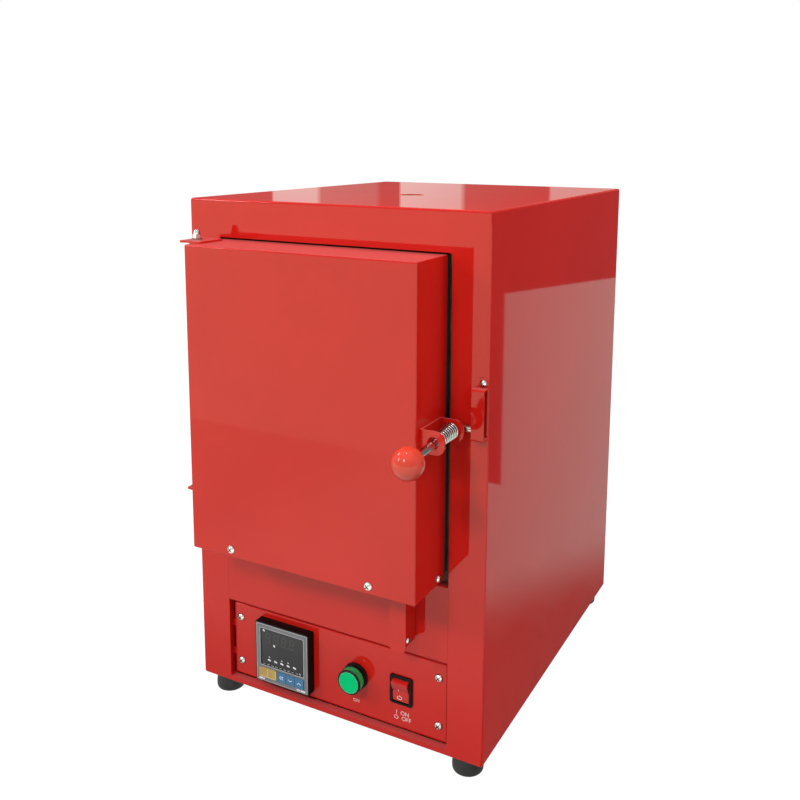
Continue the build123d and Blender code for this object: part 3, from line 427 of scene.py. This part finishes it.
spring_steel = finish(
    "spring_wire", shade(206, 205, 202), shade(170, 169, 168), patch=3, smooth=0.16, rough=0.32,
    smear=4, grain_size=0.2, relief=0.002, Metallic=1.0)
# Painted shade in the gaps between the spring's turns and inside the coil.
paint_crease_shade(spring_steel, 6.0, shade(18, 15, 14))
step_count = spring_half_turns * steps_per_half_turn
coil_spots = [spring_spot(i / steps_per_half_turn) for i in range(1, step_count)]
rear_along, front_along = spring_rear_y - latch_y, spring_front_y - latch_y
rear_leg = [latch_spot(-spring_rear_r, rear_along, -length) for length in (leg_length, leg_length / 2, 0)]
front_leg = [latch_spot(spring_front_r, front_along, -length) for length in (0, leg_length / 2, leg_length)]
hook = [latch_spot(spring_front_r + hook_r * (1 - cos(turn)), front_along, -leg_length - hook_r * sin(turn))
        for turn in (radians(30), radians(60), radians(90))]
hook.append(hook[-1] + Vector((0.0006, 0, 0)))
spring_line = [(spot, 1.0) for spot in rear_leg + coil_spots + front_leg + hook]
wound_spring = wire_piece("wound_spring", [spring_line], spring_wire, spring_steel, kind="NURBS", sides=3)
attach(wound_spring, "door")
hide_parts("latch_spring")

# Temperature controller: a moulded case pushed through the panel and clamped behind it, a grey
# face frame, a smoked window over the unlit digits, one gold key and three blue ones. The marks
# are printed; the digits are the diffusers of the display under the window.

black = finish(
    "black_moulding", shade(9, 9, 10), shade(6, 6, 7), patch=20, smooth=0.4, rough=0.52, smear=14,
    grain_size=0.45, relief=0.03, Specular_IOR_Level=0.12)
dress(black, "controller_case", "controller_clamp", "lamp_body", "lamp_nut", "rocker_bezel",
      "solid_state_relay", "terminal_block", "cable_gland", "door_switch")
face_grey = finish(
    "face_frame", shade(122, 124, 126), shade(112, 114, 117), patch=12, smooth=0.38, rough=0.5,
    smear=10, grain_size=0.35, relief=0.02, Specular_IOR_Level=0.3)
dress(face_grey, "controller_face")
smoked = finish(
    "smoked_window", shade(44, 45, 48), shade(38, 39, 42), patch=30, smooth=0.1, rough=0.18, smear=22,
    grain_size=6.0, relief=0.004, IOR=1.49, Specular_IOR_Level=0.3)
dress(smoked, "controller_window")
gold = finish(
    "gold_key_print", shade(190, 158, 82), shade(176, 144, 72), patch=8, smooth=0.34, rough=0.46,
    smear=8, grain_size=0.4, relief=0.015)
dress(gold, "set_key")
blue = finish(
    "blue_key_print", shade(50, 116, 162), shade(44, 108, 148), patch=8, smooth=0.34, rough=0.46,
    smear=8, grain_size=0.4, relief=0.015)
dress(blue, "shift_key", "down_key", "up_key")
white_print = finish(
    "white_print", shade(240, 241, 242), shade(228, 230, 232), patch=4, smooth=0.4, rough=0.55, smear=5,
    grain_size=0.3, relief=0.01)
digit_smoke = finish(
    "unlit_digit", shade(38, 38, 40), shade(33, 33, 35), patch=6, smooth=0.3, rough=0.4, smear=6,
    grain_size=0.4, relief=0.008)
# Pale gold for the painted highlight along the key's lower and right edges, and for a printed line down its
# middle.
gold_highlight_and_print = finish(
    "gold_key_light", shade(226, 204, 140), shade(214, 190, 124), patch=6, smooth=0.4, rough=0.5,
    smear=6, grain_size=0.4, relief=0.01)
# Pale grey for the painted highlight along the controller face's moulded edges.
highlight_grey = finish(
    "face_edge", shade(178, 180, 182), shade(164, 166, 168), patch=6, smooth=0.36, rough=0.46, smear=6,
    grain_size=0.4, relief=0.01)


def printed_bar(length, width, y, x, z, lean=0.0, thick=0.12):
    """A thin flat bar with eased corners that faces the front, centred on (x, z) and leaning by an angle."""
    bpy.ops.object.select_all(action="DESELECT")
    bpy.ops.mesh.primitive_plane_add(size=1.0, location=(0, 0, 0), rotation=(pi / 2, 0, 0))
    bar = bpy.context.object
    bar.scale = (width / 1000, length / 1000, 1.0)
    bpy.ops.object.transform_apply(location=False, rotation=True, scale=True)
    bpy.ops.object.mode_set(mode="EDIT")
    bpy.ops.mesh.select_all(action="SELECT")
    bpy.ops.mesh.bevel(offset=min(length, width) * 0.3 / 1000, segments=2, affect="VERTICES")
    bpy.ops.mesh.select_all(action="SELECT")
    bpy.ops.mesh.extrude_region_move(TRANSFORM_OT_translate={"value": (0, thick / 1000, 0)})
    bpy.ops.mesh.select_all(action="SELECT")
    bpy.ops.mesh.normals_make_consistent(inside=False)
    bpy.ops.object.mode_set(mode="OBJECT")
    bar.data.transform(Matrix.Translation(at(x, y, z)) @ Matrix.Rotation(lean, 4, "Y"))
    return bar


def joined(name, parts, material):
    """One piece out of several, with one finish."""
    bpy.ops.object.select_all(action="DESELECT")
    for part in parts:
        part.select_set(True)
    bpy.context.view_layer.objects.active = parts[0]
    if len(parts) > 1:
        bpy.ops.object.join()
    piece = bpy.context.object
    piece.name = name
    piece.data.name = name
    piece.data.materials.clear()
    piece.data.materials.append(material)
    return piece


face_y = -5.5
window_y = face_y + 0.6
digit_y = window_y - 0.03
digit_x, digit_z, digit_step = -82.0, 72.6, 10.8
tall, wide, stroke, italic = 5.6, 5.2, 1.1, 0.12
bars = []
for column in range(4):
    middle_x = digit_x + column * digit_step
    for dx, dz, lean in ((0, tall, pi / 2), (0, 0, pi / 2), (0, -tall, pi / 2), (-wide / 2, tall / 2, 0),
                         (wide / 2, tall / 2, 0), (-wide / 2, -tall / 2, 0), (wide / 2, -tall / 2, 0)):
        slant = italic * dz
        length = (wide if lean else tall) - 0.9
        bars.append(printed_bar(length, stroke, digit_y, middle_x + dx + slant, digit_z + dz,
                                lean + (0 if lean else italic)))
    bars.append(printed_bar(stroke, stroke, digit_y, middle_x + wide / 2 + 1.7, digit_z - tall))
digits = joined("display_digits", bars, digit_smoke)
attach(digits, "cabinet")

labels = []
label_z, tick_z, scale_z, arrow_x = 46.1, 49.8, 39.8, -38.6
label_start, label_step, scale_start, scale_step = -80.35, 8.6, -87.3, 5.55
for n in range(5):
    label_x = label_start + n * label_step
    labels.append(printed_bar(2.0, 4.2, digit_y, label_x, label_z, radians(12)))
    if n in (0, 2, 3):
        labels.append(printed_bar(1.0, 1.9, digit_y, label_x, tick_z, radians(20)))
for n in range(9):
    labels.append(printed_bar(1.1, 3.4, digit_y, scale_start + n * scale_step, scale_z))
labels.append(printed_bar(2.8, 0.9, digit_y, arrow_x, scale_z + 0.9, radians(-45)))
labels.append(printed_bar(2.8, 0.9, digit_y, arrow_x, scale_z - 0.7, radians(45)))
labels.append(printed_bar(3.0, 2.0, digit_y, -73.4, 65.1, radians(-12)))
labels.append(printed_bar(1.8, 3.0, digit_y, -87.4, 80.6, radians(30)))
label_row = joined("window_labels", labels, white_print)
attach(label_row, "cabinet")
caption_bars = ((-92.0, 5.5, 1.9), (-88.0, 2.0, 1.9), (-40.5, 5.0, 1.5), (-34.3, 6.0, 1.9))
captions = [printed_bar(tall, width, face_y - 0.06, x, 21.8) for x, width, tall in caption_bars]
caption_row = joined("face_captions", captions, white_print)
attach(caption_row, "cabinet")


def border(x0, x1, z0, z1, y, width):
    """Four bars that frame a rectangle."""
    middle_x, middle_z = (x0 + x1) / 2, (z0 + z1) / 2
    standing = [printed_bar(z1 - z0, width, y, x, middle_z) for x in (x0, x1)]
    return standing + [printed_bar(width, x1 - x0, y, middle_x, z) for z in (z0, z1)]


# Pale bars round the grey face and round the window: a painted highlight on the moulded edges.
face_highlight_bars = joined("face_edges", border(-97.0, -28.6, 19.8, 88.2, face_y - 0.05, 0.8)
                       + border(-92.5, -33.1, 38.4, 83.8, face_y - 0.05, 0.7), highlight_grey)
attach(face_highlight_bars, "cabinet")
window_rim = joined("window_rim", border(-91.4, -34.2, 39.5, 82.7, window_y - 0.03, 0.9), black)
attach(window_rim, "cabinet")

key_front, key_middle_z = face_y - 0.9, 29.9
up_x, down_x, shift_x = -39.2, -51.2, (-64.6, -61.9)
steep, arm_offset, chevron_offset = radians(48), 1.3, 0.95
for body, name, arm, spots in (
        ("up_button", "mark_up", 3.4, [(up_x - arm_offset, 0, steep), (up_x + arm_offset, 0, -steep)]),
        ("down_button", "mark_down", 3.4,
         [(down_x - arm_offset, 0, -steep), (down_x + arm_offset, 0, steep)]),
        ("shift_button", "mark_shift", 2.7, [(x, way * chevron_offset, way * radians(45))
                                             for x in shift_x for way in (1, -1)])):
    arms = [printed_bar(arm, 0.8, key_front - 0.04, x, key_middle_z + dz, lean) for x, dz, lean in spots]
    mark = joined(name, arms, white_print)
    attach(mark, body)
# Pale bars on the gold key: along its lower and right edges a painted highlight, down its middle a printed
# dividing line.
gold_bars = ((1.0, 22.4, -82.1, 25.1), (10.6, 1.1, -71.0, 29.9), (9.4, 0.7, -82.1, 30.3))
gold_highlight_and_print_bars = [printed_bar(height, width, key_front - 0.03, x, z) for height, width, x, z in gold_bars]
gold_highlight_and_print_marks = joined("gold_key_edges", gold_highlight_and_print_bars, gold_highlight_and_print)
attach(gold_highlight_and_print_marks, "set_button")

# Pilot lamp: a green moulded lens in a black collar, both turned, screwed onto the flange. Fine
# grooves part the lens's facets, and those of its side are ribs for the fingers. In front a dark
# ring and a thin pale rim, a painted highlight, stand round the disc; the lens's faint glow is
# painted light that brightens its green.

lamp_x, control_z = 28.0, 54.0
# The emission on the lens's side and front is a painted glow that brightens the green.
green_side = finish(
    "green_lens_side", shade(34, 160, 88), shade(18, 124, 66), patch=5, smooth=0.1, rough=0.2, smear=6,
    grain_size=1.0, relief=0.02, IOR=1.49, Emission_Strength=0.3)
green_side.node_tree.nodes["Principled BSDF"].inputs["Emission Color"].default_value = shade(20, 150, 80)
green_disc = finish(
    "green_lens_front", shade(2, 188, 112), shade(1, 178, 104), patch=8, smooth=0.3, rough=0.4, smear=8,
    grain_size=0.9, relief=0.02, IOR=1.3, Specular_IOR_Level=0.1, Emission_Strength=0.16)
green_disc.node_tree.nodes["Principled BSDF"].inputs["Emission Color"].default_value = shade(0, 220, 130)
# A pale green for the painted highlight on the thin rim round the disc.
green_rim_highlight = finish(
    "green_lens_rim", shade(150, 236, 190), shade(120, 222, 170), patch=4, smooth=0.15, rough=0.25,
    smear=4, grain_size=0.5, relief=0.01, IOR=1.49)
green_dark = finish(
    "green_lens_ring", shade(6, 26, 16), shade(4, 18, 12), patch=4, smooth=0.2, rough=0.3, smear=5,
    grain_size=0.5, relief=0.01, Specular_IOR_Level=0.3)


def turned(name, outline, sides, materials):
    """A shape turned round the lamp's axis, by (y, radius, number of its material) from the panel on."""
    bpy.ops.object.select_all(action="DESELECT")
    bpy.ops.mesh.primitive_circle_add(vertices=sides, radius=outline[0][1] / 1000, fill_type="NGON",
                                      location=at(lamp_x, outline[0][0], control_z), rotation=(pi / 2, 0, 0))
    piece = bpy.context.object
    piece.name = name
    piece.data.name = name
    bpy.ops.object.transform_apply(location=True, rotation=True, scale=True)
    for material in materials:
        piece.data.materials.append(material)
    bpy.ops.object.mode_set(mode="EDIT")
    bpy.ops.mesh.select_all(action="SELECT")
    for (y, radius, _), (next_y, next_radius, _) in zip(outline, outline[1:]):
        bpy.ops.mesh.extrude_region_move(TRANSFORM_OT_translate={"value": (0, (next_y - y) / 1000, 0)})
        growth = next_radius / radius
        bpy.ops.transform.resize(value=(growth, 1, growth), center_override=at(lamp_x, next_y, control_z))
    bpy.ops.mesh.select_all(action="SELECT")
    bpy.ops.mesh.normals_make_consistent(inside=False)
    bpy.ops.object.mode_set(mode="OBJECT")
    axis = at(lamp_x, 0, control_z)
    for face in piece.data.polygons:
        corners = [(piece.data.vertices[i].co - axis) * 1000 for i in face.vertices]
        reach = max(corner.xz.length for corner in corners)
        depth = max(corner.y for corner in corners)
        kinds = [kind for y, radius, kind in outline if abs(y - depth) < 0.02 and abs(radius - reach) < 0.02]
        face.material_index = kinds[0] if kinds else outline[-1][2]
    return piece


def raise_faces(height, margin):
    """Raises every face of the piece at hand, with fine grooves left between; both in metres."""
    bpy.ops.object.mode_set(mode="EDIT")
    bpy.ops.mesh.select_all(action="SELECT")
    bpy.ops.mesh.inset(thickness=margin, use_individual=True)
    bpy.ops.mesh.extrude_faces_move(TRANSFORM_OT_shrink_fatten={"value": height})
    bpy.ops.mesh.select_all(action="DESELECT")
    bpy.ops.object.mode_set(mode="OBJECT")


flange_y, side_rear, side_front = 3.2, -1.2, -8.3
lens_outline = [
    (flange_y, 12.4, 0), (side_rear, 12.9, 0), (side_front, 12.9, 2), (-8.5, 13.6, 2), (-9.4, 13.6, 2),
    (-9.8, 13.2, 2), (-9.81, 11.9, 1), (-10.0, 11.8, 1), (-10.01, 11.5, 1), (-9.8, 11.4, 3)]
lens = turned("ribbed_lens", lens_outline, 88, [green_side, green_rim_highlight, green_dark, green_disc])
raise_faces(height=0.0004, margin=0.00008)
bpy.ops.object.shade_smooth_by_angle(angle=radians(25))
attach(lens, "cabinet")
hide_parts("lamp_lens")
collar_outline = [(flange_y, 14.2, 0), (-0.5, 14.3, 0), (-0.9, 13.9, 0)]
collar = turned("lamp_collar", collar_outline, 72, [black])
bpy.ops.object.shade_smooth_by_angle(angle=radians(25))
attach(collar, "cabinet")

# Rocker switch: a black snap-in bezel and a red paddle on a cross pin, its top pressed out. The
# bar and the ring are moulded in the paddle and filled with white.

rocker_x, tilt = 84.0, radians(13)
paddle_red = finish(
    "rocker_paddle", shade(206, 34, 26), shade(196, 28, 22), patch=10, smooth=0.2, rough=0.3, smear=10,
    grain_size=1.2, relief=0.008, IOR=1.5, Specular_IOR_Level=0.35)
dress(paddle_red, "rocker_paddle")
valley_y, valley_z = 4.128, 52.875
lower_z, bar_rise = 45.6, 1.4
bpy.ops.object.select_all(action="DESELECT")
bpy.ops.mesh.primitive_torus_add(
    major_segments=40, minor_segments=8, major_radius=0.0025, minor_radius=0.00036)
ring = bpy.context.object
ring.scale = (1.0, 0.74, 1.0)
ring.rotation_euler = (pi / 2, 0, 0)
ring.location = at(rocker_x - 1.3, valley_y, lower_z)
bpy.ops.object.transform_apply(location=True, rotation=True, scale=True)
ring = joined("mark_off", [ring], white_print)
bpy.ops.object.shade_smooth()
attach(ring, "rocker")
upper_bar = joined("mark_on", [printed_bar(2.6, 0.8, 0, 0, 0, thick=0.3)], white_print)
upper_bar.data.transform(Matrix.Translation(-at(0, 0, 0)))
bar_spot = at(rocker_x - 2.4, valley_y - bar_rise * sin(2 * tilt) - 0.1, valley_z + bar_rise * cos(2 * tilt))
upper_bar.data.transform(Matrix.Translation(bar_spot) @ Matrix.Rotation(2 * tilt, 4, "X"))
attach(upper_bar, "rocker")

# Legends on the panel: plain letters printed on the enamel in thin pale ink, under the lamp and
# under the switch.

panel_y = 6.0
pale_print = finish(
    "pale_print", shade(238, 196, 196), shade(230, 184, 184), patch=4, smooth=0.4, rough=0.55, smear=5,
    grain_size=0.3, relief=0.01)


def legend(words, size, x, z):
    """Printed letters, centred on (x, z), 0.06 mm thick."""
    bpy.ops.object.select_all(action="DESELECT")
    bpy.ops.object.text_add(location=(0, 0, 0))
    letters = bpy.context.object
    letters.data.body = words
    letters.data.size = size / 1000
    letters.data.align_x = "CENTER"
    letters.data.align_y = "CENTER"
    letters.data.offset = size * 0.012 / 1000
    letters.data.extrude = 0.00003
    bpy.ops.object.convert(target="MESH")
    letters = bpy.context.object
    letters.data.transform(Matrix.Translation(at(x, panel_y - 0.03, z)) @ Matrix.Rotation(pi / 2, 4, "X"))
    return letters


words = [legend("I  ON", size=6.6, x=85.4, z=27.0), legend("O  OFF", size=6.6, x=85.4, z=21.0),
         legend("ON", size=5.0, x=28.1, z=24.4)]
legends = joined("panel_legends", words, pale_print)
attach(legends, "cabinet")

# Feet, wiring-space fittings and the door switch's plunger: moulded rubber, an extruded
# aluminium heat sink with a milled-looking skin, and a ground steel pin.

rubber = finish(
    "foot_rubber", shade(24, 24, 25), shade(18, 18, 19), patch=14, smooth=0.52, rough=0.7, smear=10,
    grain_size=0.5, relief=0.04)
dress(rubber, "feet")
alloy = finish(
    "drawn_aluminium", shade(188, 190, 192), shade(172, 174, 177), patch=12, smooth=0.3, rough=0.42,
    smear=12, grain_size=0.5, relief=0.01, Metallic=1.0)
dress(alloy, "heat_sink")
ground_pin = finish(
    "ground_pin", shade(206, 206, 205), shade(186, 186, 186), patch=4, smooth=0.14, rough=0.24, smear=4,
    grain_size=0.3, relief=0.003, Metallic=1.0)
dress(ground_pin, "switch_plunger")

# The room: a plain white floor that runs out of sight, four soft boxes and a weak lamp from the
# right, and the cards that only its glossy paint sees: a warm one before it, dark and pale ones
# beside and behind it. The camera stands where the photographer stood.

floor_grey, floor_light, floor_light_share = 0.45, 1.17, 0.84
sky_light, sky_mirrored, sky_seen = 0.55, 0.9, 1.0
bpy.ops.object.select_all(action="DESELECT")
bpy.ops.mesh.primitive_plane_add(size=14.0, location=(0, 0, 0))
floor = bpy.context.object
floor.name = "floor"
paper = bpy.data.materials.new("white_paper")
paper.use_nodes = True
tree = paper.node_tree
tree.nodes.clear()
surface = tree.nodes.new("ShaderNodeOutputMaterial")
matt = add_node(tree, "ShaderNodeBsdfDiffuse", Color=(*[floor_grey] * 3, 1))
clean = add_node(tree, "ShaderNodeEmission", Color=(1, 1, 1, 1), Strength=floor_light)
seen = tree.nodes.new("ShaderNodeLightPath")
share_seen = add_node(tree, "ShaderNodeMath", {"operation": "MULTIPLY"})
share_seen.inputs[1].default_value = floor_light_share
cover = tree.nodes.new("ShaderNodeMixShader")
tree.links.new(seen.outputs["Is Camera Ray"], share_seen.inputs[0])
tree.links.new(share_seen.outputs[0], cover.inputs["Fac"])
tree.links.new(matt.outputs["BSDF"], cover.inputs[1])
tree.links.new(clean.outputs["Emission"], cover.inputs[2])
tree.links.new(cover.outputs["Shader"], surface.inputs["Surface"])
floor.data.materials.append(paper)

world = bpy.data.worlds.new("studio")
bpy.context.scene.world = world
world.use_nodes = True
tree = world.node_tree
tree.nodes.clear()
surface = tree.nodes.new("ShaderNodeOutputWorld")
seen = tree.nodes.new("ShaderNodeLightPath")
fill = add_node(tree, "ShaderNodeBackground", Color=(1, 1, 1, 1), Strength=sky_light)
mirrored = add_node(tree, "ShaderNodeBackground", Color=(1, 1, 1, 1), Strength=sky_mirrored)
backdrop = add_node(tree, "ShaderNodeBackground", Color=(1, 1, 1, 1), Strength=sky_seen)
for_gloss = tree.nodes.new("ShaderNodeMixShader")
for_camera = tree.nodes.new("ShaderNodeMixShader")
tree.links.new(seen.outputs["Is Glossy Ray"], for_gloss.inputs["Fac"])
tree.links.new(fill.outputs["Background"], for_gloss.inputs[1])
tree.links.new(mirrored.outputs["Background"], for_gloss.inputs[2])
tree.links.new(seen.outputs["Is Camera Ray"], for_camera.inputs["Fac"])
tree.links.new(for_gloss.outputs["Shader"], for_camera.inputs[1])
tree.links.new(backdrop.outputs["Background"], for_camera.inputs[2])
tree.links.new(for_camera.outputs["Shader"], surface.inputs["Surface"])


def soft_lamp(name, place, aim, side, power):
    """A square soft box that faces a point."""
    lamp = bpy.data.lights.new(name, "AREA")
    lamp.shape = "SQUARE"
    lamp.size = side
    lamp.energy = power
    holder = bpy.data.objects.new(name, lamp)
    bpy.context.scene.collection.objects.link(holder)
    holder.location = place
    holder.rotation_mode = "QUATERNION"
    holder.rotation_quaternion = (Vector(aim) - Vector(place)).to_track_quat("-Z", "Y")
    return holder


ball_place, box_reach, box_side = Vector((0.1485, -0.27, 0.37)), 2.6, 0.4
for name, way, power in (
        ("front_box", (-0.100, -0.780, 0.619), 24), ("left_box", (-0.705, -0.543, 0.457), 15),
        ("ceiling_box", (-0.178, 0.021, 0.984), 8), ("side_box", (-0.805, 0.062, 0.590), 10)):
    soft_lamp(name, ball_place + box_reach * Vector(way), ball_place, box_side, power)
right_fill = soft_lamp("right_fill", (1.0, 0.2, 1.9), aim=(0.18, 0, 0.5), side=0.7, power=14)
right_fill.visible_glossy = False

glow = bpy.data.materials.new("card_glow")
glow.use_nodes = True
tree = glow.node_tree
tree.nodes.clear()
surface = tree.nodes.new("ShaderNodeOutputMaterial")
painted = add_node(tree, "ShaderNodeAttribute", {"attribute_name": "glow"})
light = add_node(tree, "ShaderNodeEmission", Strength=1.0)
tree.links.new(painted.outputs["Color"], light.inputs["Color"])
tree.links.new(light.outputs["Emission"], surface.inputs["Surface"])


def glow_card(name, rows):
    """A card that only shiny surfaces see: rows of points, each with the colour that it glows in."""
    card = bpy.data.objects.new(name, bpy.data.meshes.new(name))
    bpy.context.scene.collection.objects.link(card)
    across = len(rows[0])
    faces = [(r * across + c, r * across + c + 1, (r + 1) * across + c + 1, (r + 1) * across + c)
             for r in range(len(rows) - 1) for c in range(across - 1)]
    card.data.from_pydata([spot for row in rows for spot, colour in row], [], faces)
    colours = card.data.color_attributes.new("glow", "FLOAT_COLOR", "POINT")
    for item, (spot, colour) in zip(colours.data, [post for row in rows for post in row]):
        item.color = (*colour, 1.0)
    card.data.materials.append(glow)
    card.visible_camera = False
    card.visible_diffuse = False
    card.visible_shadow = False
    card.visible_transmission = False


def between(value, posts):
    """The level at a place on a line of (place, level) posts, straight between them."""
    for (low, low_level), (high, high_level) in zip(posts, posts[1:]):
        if value <= high:
            share = max(0.0, (value - low) / (high - low))
            return low_level + (high_level - low_level) * share
    return posts[-1][1]


cabinet_side, side_zone_y, near_zone_y = 0.18, -0.2, -1.1
front_posts = [(0.18, 0.8), (0.25, 1.1), (0.33, 1.7), (0.4, 1.8), (0.65, 2.3), (1.0, 2.55), (3.0, 2.6)]
left_posts = [(0.3, 1.0), (0.5, 0.76)]
warmth_posts = [(0.2, 0.95), (0.6, 0.85), (1.2, 0.78)]
side_posts, side_fan = [(0.35, 0.27), (0.6, 1.12), (3.0, 1.2)], 2.2
cool_side, cool_back = (0.5, 1.0, 0.94), (0.65, 1.0, 0.95)


def floor_glow(x, y):
    """What the floor sends to the furnace's front and to its right side."""
    if x > cabinet_side and y > side_zone_y:
        level = between(side_fan * (x - cabinet_side) + y, side_posts)
        return tuple(level * part for part in cool_side)
    level = between(-y, front_posts)
    if y > near_zone_y:
        level *= between(-x, left_posts)
    return (level, level, level * between(-y, warmth_posts))


places_x = (-12, -6, -3, -1.5, -1, -0.7, -0.5, -0.35, -0.25, -0.15, -0.05, 0.05, 0.12, 0.179, 0.181, 0.22,
            0.26, 0.3, 0.34, 0.38, 0.42, 0.5, 0.6, 0.8, 1.2, 2, 3, 6)
places_y = (-12, -6, -4, -3, -2, -1.4, -1.11, -1.09, -0.9, -0.75, -0.65, -0.55, -0.45, -0.4, -0.33, -0.25,
            -0.201, -0.199, -0.1, 0, 0.08, 0.14, 0.2, 0.24, 0.28, 0.32, 0.36, 0.4, 0.45, 0.5, 0.6, 0.8,
            1.2, 2, 3, 4, 6)
glow_card("floor_sheen", [[((x, y, 0.001), floor_glow(x, y)) for x in places_x] for y in places_y])


def upright(name, posts, height):
    """A standing glow card over (x, y, colour) posts on the floor."""
    glow_card(name, [[((x, y, z), colour) for x, y, colour in posts] for z in (0, height)])


dusk = (0.17, 0.17, 0.18)
side_height, back_y, back_height = 3, 4.2, 4
upright("dark_side_card", [(0.472, 0.6, dusk), (1.6, 0.6, dusk)], side_height)
upright("dark_slant_card", [(1.30, 2.54, dusk), (0.90, 3.48, dusk)], side_height)
window_posts = [
    (-9.0, 0.25), (-3.29, 0.2), (-3.27, 1.15), (-2.92, 1.15), (-2.88, 0.42), (-2.46, 0.36), (-2.42, 0.18),
    (-2.29, 0.18), (-2.27, 1.2), (-1.86, 1.0), (-1.82, 0.22), (-1.29, 0.15), (-1.27, 0.75), (-0.9, 0.75),
    (-0.85, 0.3), (0.85, 0.17)]
back_row = [(x, back_y, tuple(level * part for part in cool_back)) for x, level in window_posts]
upright("back_card", back_row, back_height)

eye = bpy.data.objects.new("camera", bpy.data.cameras.new("camera"))
bpy.context.scene.collection.objects.link(eye)
eye.data.sensor_width = 36.0
eye.data.lens = 41.11
eye.data.shift_x = -0.0089
eye.data.shift_y = -0.1520
rightward = Vector((0.88290, 0.46954, 0.00480))
forward = Vector((-0.46334, 0.87280, -0.15340))
upward = rightward.cross(forward)
eye.matrix_world = Matrix.Translation((0.5046, -0.9446, 0.6536)) @ Matrix(
    (rightward, upward, -forward)).transposed().to_4x4()
bpy.context.scene.camera = eye
bpy.context.scene.view_settings.view_transform = "Standard"
